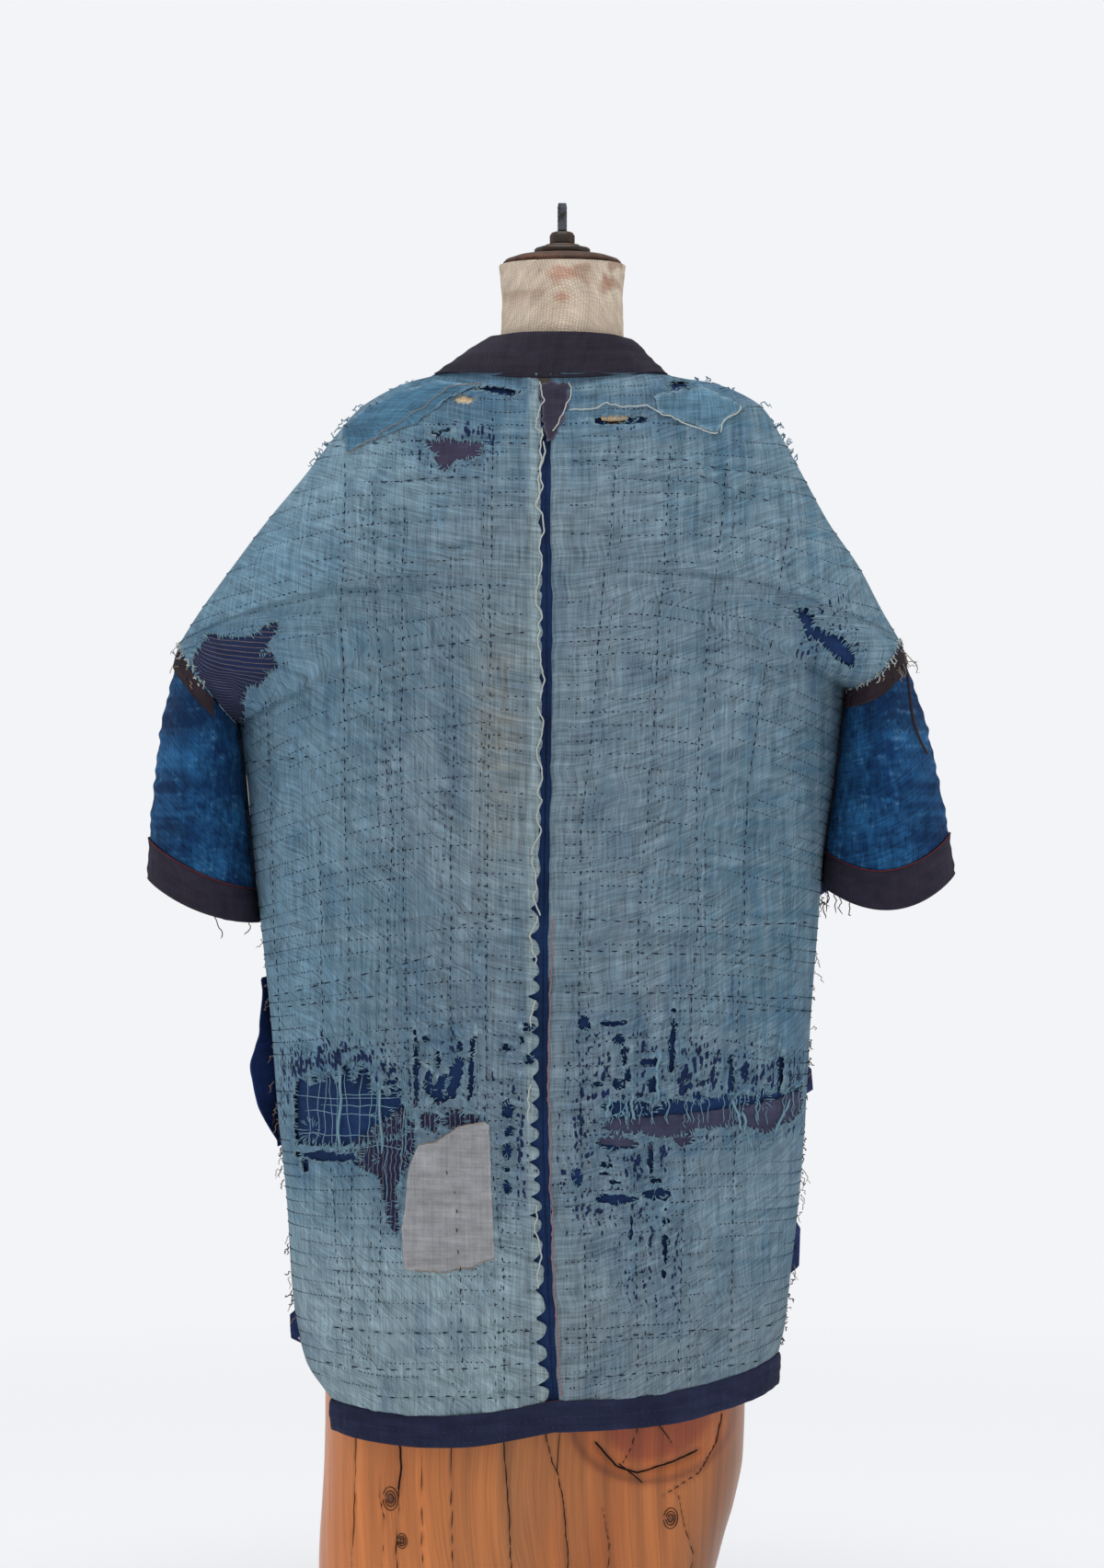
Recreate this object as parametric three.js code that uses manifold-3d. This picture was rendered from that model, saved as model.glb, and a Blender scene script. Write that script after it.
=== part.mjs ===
// A patched and quilted farm jacket (boro noragi), open at neck, front, cuffs and hem, resting on the
// shoulders of an antique dress form without limbs. The form stands on a wooden stump.
// Millimetres, +Z up. The origin is at the middle of the stump's flat underside. The back of the
// jacket faces +Y, and +X is the wearer's left.
import * as THREE from 'three';
import { mergeVertices } from 'three/addons/utils/BufferGeometryUtils.js';
import Module from 'manifold-3d';

const wasm = await Module();
wasm.setup();

// ---------- Driving dimensions ----------
const BACK_NECK_Z = 1096; // neck seam at the centre back
const BACK_LENGTH = 860; // neck seam to hem seam along the centre back, measured upright
const SECTION_POWER = 2.5; // squareness of the body's horizontal sections, 2 is an ellipse
const DROOP_POWER = 2.2; // how late a row of cloth starts to fall towards the side
const SEAM = 0.4; // clearance between two pieces at a seam
const LAP = 0.3; // clearance between two layers
const TOP_CLOTH = 1.2; // worn top cloth
const UNDER_PATCH = 0.8; // patches between top cloth and backing
const BACKING = 1.6; // indigo backing
const BACKING_OUT = -(TOP_CLOTH + UNDER_PATCH + 7 * LAP);
const BACKING_IN = BACKING_OUT - BACKING;
const FRONT_WALL = 3;
const SLEEVE_WALL = 2;
const LAID_PATCH = 1;
const BAND_LIFT = 1.35; // underside of the armhole bands over the sleeve
const QUILT_RISE = 0.8; // puff between two lines of quilting
const CENTRE_GAP = { left: 5.5, right: 4.5 }; // worn edge of the top cloth to the centre seam
const SCALLOP = { rise: 2.2, pitch: 31 }; // waves of the left worn edge
const COLLAR_WIDTH = 46;
const COLLAR_WALL = 3;
const HEM_HEIGHT = 27;
const ARMHOLE_HALF_DEPTH = 90;
const ARMHOLE_ROWS = 4; // rows of each body panel from the top of the armhole to the armpit
const SLEEVE_COLUMNS = 4 * ARMHOLE_ROWS; // two for each of those rows, front and back
const CUFF_SHARE = 0.83; // share of the sleeve's length where the cuff band begins
const SLEEVE_CLEAR = 2.6; // sleeve to body below the armpit
const FORM_X = -6.5; // the form's axis, seen from behind a little to the right
const STUMP_TOP_Z = 384;

const COLOURS = {
  lightBlue: 0x6e93a6, indigo: 0x1e2f57, sleeveBlue: 0x1f5c8f, darkBand: 0x2e2a36, hemBand: 0x252a45,
  stripe: 0x3d3f55, mauve: 0x5c5560, grey: 0x9a999d, shoulderBlue: 0x5f8ba0, jersey: 0xb9aa93,
  iron: 0x4c463f, wood: 0xb9703c,
};

// ---------- Tables of the body: v is the share of the way down the centre back ----------
// seam: x of the centre seam, back and front: depth of the section from the shoulder plane,
// opening: distance from the centre to the front's edge, where the collar is sewn on
const LEVELS = [
  { v: 0, seam: 8, back: 60, front: 60, opening: 90 },
  { v: 0.024, seam: 8, back: 75, front: 68, opening: 88 },
  { v: 0.072, seam: 8, back: 92, front: 84, opening: 84 },
  { v: 0.135, seam: 8, back: 108, front: 98, opening: 79 },
  { v: 0.2, seam: 7, back: 119, front: 106, opening: 74 },
  { v: 0.3, seam: 7, back: 127, front: 112, opening: 69 },
  { v: 0.5, seam: 9, back: 140, front: 120, opening: 66 },
  { v: 0.7, seam: 10, back: 147, front: 128, opening: 66 },
  { v: 0.9, seam: 5, back: 150, front: 134, opening: 68 },
  { v: 1, seam: 1, back: 150, front: 136, opening: 70 },
];

// ridge: the fold over the shoulder, from the neck point to the top of the armhole
// side: from the armpit down to the hem corner, y is how far the open slit swings from the side line
const LEFT = {
  name: 'left', sign: 1, armholeDip: 0, hemDip: -12,
  ridge: [
    { v: 0, x: 106, z: 1104 }, { v: 0.009, x: 131, z: 1097 }, { v: 0.024, x: 169, z: 1076 },
    { v: 0.04, x: 187, z: 1056 }, { v: 0.072, x: 218, z: 1016 }, { v: 0.105, x: 251, z: 976 },
    { v: 0.135, x: 281, z: 936 }, { v: 0.167, x: 310, z: 896 }, { v: 0.186, x: 325, z: 872 },
  ],
  side: [
    { v: 0.258, x: 273, y: 0, z: 800 }, { v: 0.33, x: 266, y: 0, z: 745 }, { v: 0.4, x: 262, y: 0, z: 697 },
    { v: 0.5, x: 254, y: 0, z: 622 }, { v: 0.6, x: 246, y: 0, z: 545 }, { v: 0.7, x: 240, y: 3, z: 467 },
    { v: 0.8, x: 232, y: 14, z: 390 }, { v: 0.9, x: 225, y: 38, z: 309 }, { v: 0.96, x: 213, y: 58, z: 258 },
    { v: 1, x: 190, y: 72, z: 226 },
  ],
  cuff: { outerX: 353, outerZ: 669, innerX: 256, innerZ: 630, dip: 8, halfDepth: 66 },
};
const RIGHT = {
  name: 'right', sign: -1, armholeDip: 10, hemDip: 0,
  ridge: [
    { v: 0, x: 100, z: 1104 }, { v: 0.01, x: 140, z: 1097 }, { v: 0.024, x: 180, z: 1077 },
    { v: 0.04, x: 194, z: 1056 }, { v: 0.072, x: 216, z: 1016 }, { v: 0.105, x: 238, z: 976 },
    { v: 0.135, x: 264, z: 938 }, { v: 0.16, x: 284, z: 900 }, { v: 0.181, x: 298, z: 876 },
  ],
  side: [
    { v: 0.2326, x: 252, y: 0, z: 832 }, { v: 0.33, x: 242, y: 0, z: 752 }, { v: 0.4, x: 234, y: 0, z: 700 },
    { v: 0.5, x: 228, y: 0, z: 625 }, { v: 0.6, x: 222, y: 0, z: 549 }, { v: 0.7, x: 218, y: 3, z: 472 },
    { v: 0.8, x: 212, y: 10, z: 396 }, { v: 0.9, x: 203, y: 24, z: 322 }, { v: 0.96, x: 198, y: 36, z: 285 },
    { v: 1, x: 192, y: 44, z: 262 },
  ],
  cuff: { outerX: 347, outerZ: 673, innerX: 228, innerZ: 664, dip: 26, halfDepth: 66 },
};
const BACK = { name: 'back', sign: 1 };
const BACKED = { name: 'back', sign: 1, broad: 2.6 };
const FRONT = { name: 'front', sign: -1 };

// The largest folds: a straight crest (rise above 0) or trough from one place to another on a face
const FOLDS = [
  { face: 'back', fromX: -10, fromZ: 866, toX: -6, toZ: 668, width: 8, rise: 4 },
  { face: 'back', fromX: -17, fromZ: 850, toX: -14, toZ: 660, width: 10, rise: -3 },
  { face: 'back', fromX: -10, fromZ: 652, toX: -120, toZ: 634, width: 8, rise: 5 },
  { face: 'back', fromX: -120, fromZ: 634, toX: -205, toZ: 640, width: 9, rise: 4 },
  { face: 'back', fromX: -20, fromZ: 634, toX: -190, toZ: 618, width: 14, rise: -4 },
  { face: 'back', fromX: 166, fromZ: 1005, toX: 184, toZ: 870, width: 20, rise: 6 },
  { face: 'back', fromX: 140, fromZ: 980, toX: 158, toZ: 860, width: 16, rise: -4 },
  { face: 'back', fromX: 184, fromZ: 760, toX: 150, toZ: 560, width: 26, rise: 5 },
  { face: 'back', fromX: 215, fromZ: 700, toX: 196, toZ: 520, width: 16, rise: -5 },
  { face: 'back', fromX: 230, fromZ: 640, toX: 120, toZ: 600, width: 14, rise: -4 },
  { face: 'back', fromX: -150, fromZ: 1000, toX: -176, toZ: 850, width: 20, rise: 5 },
  { face: 'back', fromX: -185, fromZ: 960, toX: -215, toZ: 850, width: 16, rise: -3 },
  { face: 'back', fromX: -160, fromZ: 826, toX: -236, toZ: 846, width: 9, rise: 4 },
  { face: 'back', fromX: -150, fromZ: 800, toX: -232, toZ: 812, width: 13, rise: -3 },
  { face: 'back', fromX: -70, fromZ: 560, toX: -60, toZ: 300, width: 24, rise: 4 },
  { face: 'back', fromX: -140, fromZ: 420, toX: -130, toZ: 250, width: 22, rise: -5 },
  { face: 'back', fromX: 150, fromZ: 400, toX: 132, toZ: 240, width: 22, rise: 6 },
  { face: 'back', fromX: 90, fromZ: 350, toX: 84, toZ: 240, width: 20, rise: -5 },
  { face: 'front', fromX: 170, fromZ: 1000, toX: 120, toZ: 760, width: 24, rise: 6 },
  { face: 'front', fromX: 225, fromZ: 840, toX: 150, toZ: 560, width: 22, rise: -6 },
  { face: 'front', fromX: 120, fromZ: 560, toX: 110, toZ: 250, width: 24, rise: 7 },
  { face: 'front', fromX: -165, fromZ: 1000, toX: -115, toZ: 780, width: 24, rise: 6 },
  { face: 'front', fromX: -205, fromZ: 840, toX: -140, toZ: 590, width: 20, rise: -6 },
  { face: 'front', fromX: -120, fromZ: 540, toX: -110, toZ: 260, width: 26, rise: 7 },
];

// Rips through the top cloth: middle, size, lean of the long axis in degrees, on the back
const RIPS = [
  { x: 77, z: 1078, wide: 20, tall: 8, lean: 8 }, { x: -68, z: 1060, wide: 28, tall: 7, lean: -4 },
  { x: 78, z: 1034, wide: 40, tall: 17, lean: 6 }, { x: 92, z: 1022, wide: 14, tall: 10, lean: 0 },
  { x: 49, z: 1087, wide: 34, tall: 5, lean: 6 }, { x: -102, z: 1088, wide: 24, tall: 6, lean: -12 },
  { x: 250, z: 866, wide: 44, tall: 20, lean: -6 }, { x: 276, z: 858, wide: 40, tall: 24, lean: 20 },
  { x: 252, z: 838, wide: 26, tall: 18, lean: 40 }, { x: 281, z: 834, wide: 40, tall: 20, lean: 66 },
  { x: 243, z: 880, wide: 16, tall: 8, lean: 50 },
  { x: -222, z: 878, wide: 38, tall: 10, lean: -42 }, { x: -240, z: 862, wide: 22, tall: 10, lean: -30 },
  { x: -206, z: 899, wide: 8, tall: 8, lean: 0 }, { x: -233, z: 848, wide: 8, tall: 7, lean: 0 },
  { x: 200, z: 478, wide: 28, tall: 20, lean: 0 }, { x: 171, z: 476, wide: 21, tall: 48, lean: 0 },
  { x: 145, z: 499, wide: 18, tall: 27, lean: 0 }, { x: 144, z: 462, wide: 19, tall: 24, lean: 0 },
  { x: 186, z: 437, wide: 42, tall: 8, lean: 0 }, { x: 137, z: 418, wide: 22, tall: 76, lean: -8 },
  { x: 124, z: 492, wide: 7, tall: 44, lean: 0 }, { x: 112, z: 508, wide: 6, tall: 50, lean: 0 },
  { x: 71, z: 512, wide: 6, tall: 56, lean: 0 }, { x: 92, z: 492, wide: 8, tall: 30, lean: 0 },
  { x: 83, z: 519, wide: 8, tall: 24, lean: 30 }, { x: 39, z: 476, wide: 9, tall: 26, lean: 0 },
  { x: 39, z: 449, wide: 7, tall: 17, lean: 0 }, { x: 39, z: 419, wide: 7, tall: 18, lean: 0 },
  { x: -97, z: 467, wide: 122, tall: 15, lean: 2 }, { x: -178, z: 470, wide: 30, tall: 16, lean: 8 },
  { x: -203, z: 478, wide: 13, tall: 15, lean: 20 }, { x: -52, z: 451, wide: 36, tall: 10, lean: 0 },
  { x: -106, z: 449, wide: 18, tall: 8, lean: 0 }, { x: -42, z: 484, wide: 13, tall: 8, lean: 0 },
  { x: -97, z: 524, wide: 7, tall: 54, lean: 0 }, { x: -145, z: 510, wide: 7, tall: 42, lean: 0 },
  { x: -189, z: 515, wide: 6, tall: 44, lean: 0 }, { x: -25, z: 551, wide: 11, tall: 10, lean: 0 },
  { x: -54, z: 537, wide: 12, tall: 9, lean: 0 }, { x: -59, z: 515, wide: 6, tall: 30, lean: 0 },
  { x: -76, z: 514, wide: 18, tall: 6, lean: 0 }, { x: -50, z: 404, wide: 38, tall: 9, lean: 0 },
  { x: -84, z: 408, wide: 24, tall: 8, lean: 0 }, { x: -83, z: 420, wide: 14, tall: 5, lean: 0 },
  { x: -80, z: 437, wide: 6, tall: 26, lean: 0 }, { x: -159, z: 452, wide: 8, tall: 18, lean: 0 },
  { x: -64, z: 375, wide: 6, tall: 24, lean: 0 }, { x: -44, z: 430, wide: 17, tall: 6, lean: 0 },
];
const THROUGH_RIPS = 2; // the first rips in the table also pierce the backing
const RIP_SIDES = 6;
const RIP_REACH = 9; // half-length of the cutting prism across the cloth

// Patches: four corners (x, z) on the back, and whether they lie on the top cloth or under its rips
const PATCHES = [
  { name: 'neck_patch', lies: 'on', colour: 'mauve', corners: [[8, 1094], [24, 1094], [18, 1062], [8, 1042]] },
  { name: 'shoulder_patch_left', lies: 'on', colour: 'shoulderBlue', corners: [[62, 1097], [176, 1058], [172, 1030], [66, 1084]] },
  { name: 'shoulder_patch_right', lies: 'on', colour: 'shoulderBlue', corners: [[-84, 1090], [-162, 1074], [-138, 1046], [-86, 1066]] },
  { name: 'grey_patch', lies: 'on', colour: 'grey', corners: [[57, 469], [117, 448], [126, 341], [50, 352]] },
  { name: 'stripe_patch_armpit', lies: 'under', colour: 'stripe', corners: [[224, 896], [300, 884], [292, 828], [236, 826]] },
  { name: 'stripe_patch_side', lies: 'under', colour: 'stripe', corners: [[118, 468], [196, 488], [190, 374], [118, 370]] },
  { name: 'mauve_patch_tear', lies: 'under', colour: 'mauve', corners: [[-26, 486], [-214, 496], [-212, 456], [-26, 444]] },
  { name: 'mauve_patch_blade', lies: 'under', colour: 'mauve', corners: [[50, 1052], [114, 1052], [112, 1008], [50, 1008]] },
];

// The torn flap at the left side: how far it stands off the side line at each level
const FLAP = [
  { v: 0.565, off: 4 }, { v: 0.62, off: 12 }, { v: 0.655, off: 20 }, { v: 0.69, off: 17 }, { v: 0.735, off: 3 },
];

// The dress form, from the seat on the stump to the top of the neck
const FORM = [
  { z: STUMP_TOP_Z + LAP, halfWidth: 150, halfDepth: 98 }, { z: 430, halfWidth: 158, halfDepth: 106 },
  { z: 500, halfWidth: 160, halfDepth: 108 }, { z: 580, halfWidth: 146, halfDepth: 100 },
  { z: 660, halfWidth: 130, halfDepth: 90 }, { z: 740, halfWidth: 137, halfDepth: 94 },
  { z: 820, halfWidth: 152, halfDepth: 100 }, { z: 900, halfWidth: 166, halfDepth: 102 },
  { z: 960, halfWidth: 177, halfDepth: 96 }, { z: 1010, halfWidth: 183, halfDepth: 86 },
  { z: 1040, halfWidth: 181, halfDepth: 74 }, { z: 1060, halfWidth: 174, halfDepth: 65 },
  { z: 1073, halfWidth: 160.6, halfDepth: 58 }, { z: 1084, halfWidth: 136, halfDepth: 54 },
  { z: 1090, halfWidth: 104, halfDepth: 52 }, { z: 1100, halfWidth: 74, halfDepth: 51 },
  { z: 1114, halfWidth: 59, halfDepth: 50 }, { z: 1132, halfWidth: 54, halfDepth: 49 },
  { z: 1165, halfWidth: 52.5, halfDepth: 49 }, { z: 1190, halfWidth: 54, halfDepth: 50 },
  { z: 1200, halfWidth: 55, halfDepth: 51 },
];
// Turned and forged fittings on the neck: rings of radius and height above the neck's top
const CAP = [[50, 0.3], [51.5, 2], [50, 5], [40, 8.5], [26, 10.5]];
const FLANGE = [[23, 10.9], [23.5, 12.5], [23.5, 16], [21, 19]];
const NUT = [[9.5, 19.4], [10, 21], [10, 28], [8, 30.5]];
const SPINDLE = { side: 8, from: 30.9, to: 55 };

// The stump: its upright left and right outline, and half its depth
const STUMP = [
  { z: 0, left: 204, right: -120, halfDepth: 108 }, { z: 70, left: 205, right: -139, halfDepth: 112 },
  { z: 100, left: 204, right: -147, halfDepth: 114 }, { z: 130, left: 202, right: -156, halfDepth: 116 },
  { z: 170, left: 200, right: -164, halfDepth: 118 }, { z: 220, left: 199, right: -166, halfDepth: 118 },
  { z: 300, left: 199, right: -166, halfDepth: 117 }, { z: 374, left: 197, right: -164, halfDepth: 115 },
  { z: STUMP_TOP_Z, left: 192, right: -159, halfDepth: 111 },
];
const STUMP_Y = 4;

// ---------- Small helpers ----------
const mix = (a, b, t) => a + (b - a) * t;
const clamp = (t) => Math.min(Math.max(t, 0), 1);
const ease = (from, to, t) => {
  const s = clamp((t - from) / (to - from));
  return s * s * (3 - 2 * s);
};
const steps = (count, power = 1) => Array.from({ length: count + 1 }, (_, i) => (i / count) ** power);

// A smooth value from a table with a column v, without overshoot between its rows
function smooth(table, column, v) {
  const last = table.length - 1;
  const at = Math.min(Math.max(v, table[0].v), table[last].v);
  let i = 0;
  while (i < last - 1 && at > table[i + 1].v) i += 1;
  const slope = (k) => (table[k + 1][column] - table[k][column]) / (table[k + 1].v - table[k].v);
  const tangent = (k) => {
    if (k === 0) return slope(0);
    if (k === last) return slope(last - 1);
    const before = slope(k - 1);
    const after = slope(k);
    return before * after <= 0 ? 0 : (2 * before * after) / (before + after);
  };
  const span = table[i + 1].v - table[i].v;
  const s = (at - table[i].v) / span;
  const a = table[i][column];
  const b = table[i + 1][column];
  return a * (1 + 2 * s) * (1 - s) ** 2 + b * s * s * (3 - 2 * s)
    + span * (tangent(i) * s * (1 - s) ** 2 + tangent(i + 1) * s * s * (s - 1));
}

// ---------- The body's surface ----------
// Side edge of a body half at level v: shoulder fold, armhole loop, then side seam and slit
function edge(side, v) {
  const top = side.ridge.at(-1);
  const armpit = side.side[0];
  if (v <= top.v) return { x: smooth(side.ridge, 'x', v), y: 0, z: smooth(side.ridge, 'z', v) };
  if (v < armpit.v) return armhole(side, (Math.PI * (v - top.v)) / (armpit.v - top.v));
  return { x: smooth(side.side, 'x', v), y: smooth(side.side, 'y', v), z: smooth(side.side, 'z', v) };
}

// The armhole loop: turn 0 is its top, pi the armpit, and between them it runs over the back
function armhole(side, turn) {
  const top = side.ridge.at(-1);
  const armpit = side.side[0];
  const across = Math.cos(turn);
  const round = Math.sin(turn);
  return {
    x: (top.x + armpit.x) / 2 + ((top.x - armpit.x) / 2) * across,
    y: ARMHOLE_HALF_DEPTH * round,
    z: (top.z + armpit.z) / 2 + ((top.z - armpit.z) / 2) * across - side.armholeDip * round * round,
  };
}

// Rise of the folds at a place on a face, fading out at the section's edge so that seams still meet.
// A backing lies below every trough of the cloth on it, and doesn't follow the crests
function foldRise(face, x, z, t) {
  let rise = 0;
  for (const fold of FOLDS) {
    if (fold.face !== face.name || (face.broad && fold.rise > 0)) continue;
    const dx = fold.toX - fold.fromX;
    const dz = fold.toZ - fold.fromZ;
    const along = ((x - fold.fromX) * dx + (z - fold.fromZ) * dz) / (dx * dx + dz * dz);
    const near = clamp(along);
    const off = Math.hypot(x - fold.fromX - dx * near, z - fold.fromZ - dz * near);
    const fade = ease(-0.15, 0.2, along) * ease(1.15, 0.8, along);
    rise += fold.rise * fade * Math.exp(-((off / fold.width / (face.broad ?? 1)) ** 2));
  }
  return rise * (1 - clamp(t) ** 6);
}

// A point on the outside of the body. u runs from the piece's inner edge, start millimetres from
// the centre seam, to the side edge, and v down the cloth
function bodyPoint(side, face, u, v, start) {
  const rim = edge(side, v);
  const seamX = smooth(LEVELS, 'seam', v) * side.sign;
  const depth = smooth(LEVELS, face.name, v);
  const halfWidth = rim.x - seamX;
  const reach = (1 - (rim.y / depth) ** SECTION_POWER) ** (1 / SECTION_POWER);
  const firstAngle = Math.asin(clamp((start / halfWidth) * reach));
  const t = Math.sin(mix(firstAngle, Math.asin(reach), u)) / reach;
  const x = side.sign * (seamX + halfWidth * t);
  const centreZ = BACK_NECK_Z - BACK_LENGTH * v;
  const hemDip = side.hemDip * v ** 6 * Math.sin(Math.PI * clamp(t));
  const z = centreZ + (rim.z - centreZ) * clamp(t) ** DROOP_POWER + hemDip;
  const section = (1 - clamp(reach * t) ** SECTION_POWER) ** (1 / SECTION_POWER);
  const y = depth * section + foldRise(face, x, z, t) + SEAM / 2;
  return new THREE.Vector3(x, face.sign * y, z);
}

// The outward direction there. On a closed edge it lies in the plane where back and front meet
function bodyNormal(side, face, u, v, start) {
  const step = 0.002;
  const u0 = Math.max(u - step, 0);
  const u1 = Math.min(u + step, 1);
  const v0 = Math.max(v - step, 0);
  const v1 = Math.min(v + step, 1);
  const across = bodyPoint(side, face, u1, v, start).sub(bodyPoint(side, face, u0, v, start));
  const down = bodyPoint(side, face, u, v1, start).sub(bodyPoint(side, face, u, v0, start));
  const normal = across.cross(down).normalize().multiplyScalar(side.sign * face.sign);
  const closed = edge(side, v).y === 0;
  if (closed) normal.y *= 1 - ease(0.93, 1, u);
  return normal.normalize();
}

// ---------- Walls ----------
function solidMesh(name, points, triangles, colour) {
  const geometry = new THREE.BufferGeometry();
  geometry.setAttribute('position', new THREE.Float32BufferAttribute(points.flatMap((p) => [p.x, p.y, p.z]), 3));
  geometry.setIndex(triangles.flat());
  if (signedVolume(points, triangles) < 0) geometry.setIndex(triangles.map(([a, b, c]) => [a, c, b]).flat());
  return paintedMesh(name, geometry, colour);
}

function paintedMesh(name, geometry, colour) {
  const metal = colour === 'iron';
  const material = new THREE.MeshStandardMaterial({
    color: COLOURS[colour], roughness: metal ? 0.6 : 0.92, metalness: metal ? 0.9 : 0,
  });
  const mesh = new THREE.Mesh(geometry, material);
  mesh.name = name;
  return mesh;
}

function signedVolume(points, triangles) {
  return triangles.reduce((sum, [a, b, c]) => sum + points[a].dot(points[b].clone().cross(points[c])), 0);
}

// A wall between two grids of the same rows and columns. Columns close on themselves in a tube
function wall(name, outer, inner, colour, closed = false) {
  const rows = outer.length;
  const columns = outer[0].length;
  const points = [...outer.flat(), ...inner.flat()];
  const outerAt = (r, c) => r * columns + (c % columns);
  const innerAt = (r, c) => rows * columns + outerAt(r, c);
  const triangles = [];
  const quad = (a, b, c, d) => triangles.push([a, b, c], [a, c, d]);
  const lastColumn = closed ? columns : columns - 1;
  for (let r = 0; r < rows - 1; r += 1) {
    for (let c = 0; c < lastColumn; c += 1) {
      quad(outerAt(r, c), outerAt(r, c + 1), outerAt(r + 1, c + 1), outerAt(r + 1, c));
      quad(innerAt(r, c), innerAt(r + 1, c), innerAt(r + 1, c + 1), innerAt(r, c + 1));
    }
  }
  for (let c = 0; c < lastColumn; c += 1) {
    quad(outerAt(0, c), innerAt(0, c), innerAt(0, c + 1), outerAt(0, c + 1));
    quad(outerAt(rows - 1, c), outerAt(rows - 1, c + 1), innerAt(rows - 1, c + 1), innerAt(rows - 1, c));
  }
  for (let r = 0; r < rows - 1 && !closed; r += 1) {
    quad(outerAt(r, 0), outerAt(r + 1, 0), innerAt(r + 1, 0), innerAt(r, 0));
    quad(outerAt(r, lastColumn), innerAt(r, lastColumn), innerAt(r + 1, lastColumn), outerAt(r + 1, lastColumn));
  }
  return solidMesh(name, points, triangles, colour);
}

// A solid lofted through rings of points and closed by a fan at each end
function loft(name, rings, colour) {
  const count = rings[0].length;
  const points = rings.flat();
  const triangles = [];
  for (let r = 0; r < rings.length - 1; r += 1) {
    for (let c = 0; c < count; c += 1) {
      const next = (c + 1) % count;
      const [a, b] = [r * count + c, r * count + next];
      triangles.push([a, b, b + count], [a, b + count, a + count]);
    }
  }
  const middle = (ring) => ring.reduce((sum, p) => sum.add(p), new THREE.Vector3()).divideScalar(count);
  const bottom = points.push(middle(rings[0])) - 1;
  const top = points.push(middle(rings.at(-1))) - 1;
  const lastRing = (rings.length - 1) * count;
  for (let c = 0; c < count; c += 1) {
    const next = (c + 1) % count;
    triangles.push([bottom, next, c], [top, lastRing + c, lastRing + next]);
  }
  return solidMesh(name, points, triangles, colour);
}

// ---------- Sleeves ----------
// A point on the outside of a sleeve. turn 0 is its outer side, pi its side at the body, and share
// runs from the armhole to the mouth. Below the armpit it stays clear of the body
function sleevePoint(side, turn, share) {
  const start = armhole(side, turn);
  const { cuff } = side;
  const across = Math.cos(turn);
  const round = Math.sin(turn);
  const mouthX = (cuff.outerX + cuff.innerX) / 2 + ((cuff.outerX - cuff.innerX) / 2) * across;
  const mouthZ = (cuff.outerZ + cuff.innerZ) / 2 + ((cuff.outerZ - cuff.innerZ) / 2) * across
    - cuff.dip * Math.max(round, 0) ** 2;
  const y = mix(start.y, cuff.halfDepth * round, share);
  const z = mix(start.z, mouthZ, share);
  const fullness = 6 * Math.sin(Math.PI * share) * across;
  const x = mix(start.x, mouthX, share) + Math.max(fullness, 0);
  const clear = SLEEVE_CLEAR * ease(0, 0.06, share);
  const bodyX = across < 0.2 && share > 0 ? bodyWidth(side, y, z) + clear : 0;
  return new THREE.Vector3(side.sign * Math.max(x, bodyX), y, z);
}

// Half-width of the closed body at a depth y and height z, beside the hanging sleeve
function bodyWidth(side, y, z) {
  const face = y >= 0 ? BACK : FRONT;
  let [high, low] = [side.side[0].v, 0.75];
  let t = 0;
  let rim = edge(side, high);
  for (let i = 0; i < 24; i += 1) {
    const v = (high + low) / 2;
    rim = edge(side, v);
    t = (1 - clamp(Math.abs(y) / smooth(LEVELS, face.name, v)) ** SECTION_POWER) ** (1 / SECTION_POWER);
    const centreZ = BACK_NECK_Z - BACK_LENGTH * v;
    if (centreZ + (rim.z - centreZ) * t ** DROOP_POWER > z) high = v;
    else low = v;
  }
  const seamX = smooth(LEVELS, 'seam', (high + low) / 2) * side.sign;
  return seamX + (rim.x - seamX) * t;
}

function sleeveNormal(side, turn, share) {
  const step = 0.004;
  const across = sleevePoint(side, turn + step, share).sub(sleevePoint(side, turn - step, share));
  const s0 = Math.max(share - step, 0.0001);
  const down = sleevePoint(side, turn, Math.min(share + step, 1)).sub(sleevePoint(side, turn, s0));
  return across.cross(down).normalize().multiplyScalar(-side.sign);
}

// The direction in which both walls have their thickness on the armhole loop, so that their edges
// run side by side. Under the arm, where the two turn away from each other, each keeps its own
function seamNormal(own, other) {
  const shared = own.clone().add(other);
  const weight = ease(0.7, 1.3, shared.length());
  return own.clone().lerp(shared.normalize(), weight).normalize();
}

function armholeTurn(side, v) {
  const top = side.ridge.at(-1).v;
  const armpit = side.side[0].v;
  return (Math.PI * (v - top)) / (armpit - top);
}

function panelNormal(side, face, u, v, start) {
  const own = bodyNormal(side, face, u, v, start);
  const turn = armholeTurn(side, v);
  if (u < 1 || turn < -1e-9 || turn > Math.PI + 1e-9) return own;
  return seamNormal(own, sleeveNormal(side, turn * face.sign, 0.004));
}

// ---------- Panels of the body ----------
// Levels of the rows: even steps, with the top and bottom of the armhole always among them
function rowLevels(side, shoulderRows, armholeRows, sideRows) {
  const top = side.ridge.at(-1).v;
  const armpit = side.side[0].v;
  return [
    ...steps(shoulderRows, 1.5).map((s) => s * top),
    ...steps(armholeRows).slice(1).map((s) => mix(top, armpit, s)),
    ...steps(sideRows).slice(1).map((s) => mix(armpit, 1, s)),
  ];
}

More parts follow.
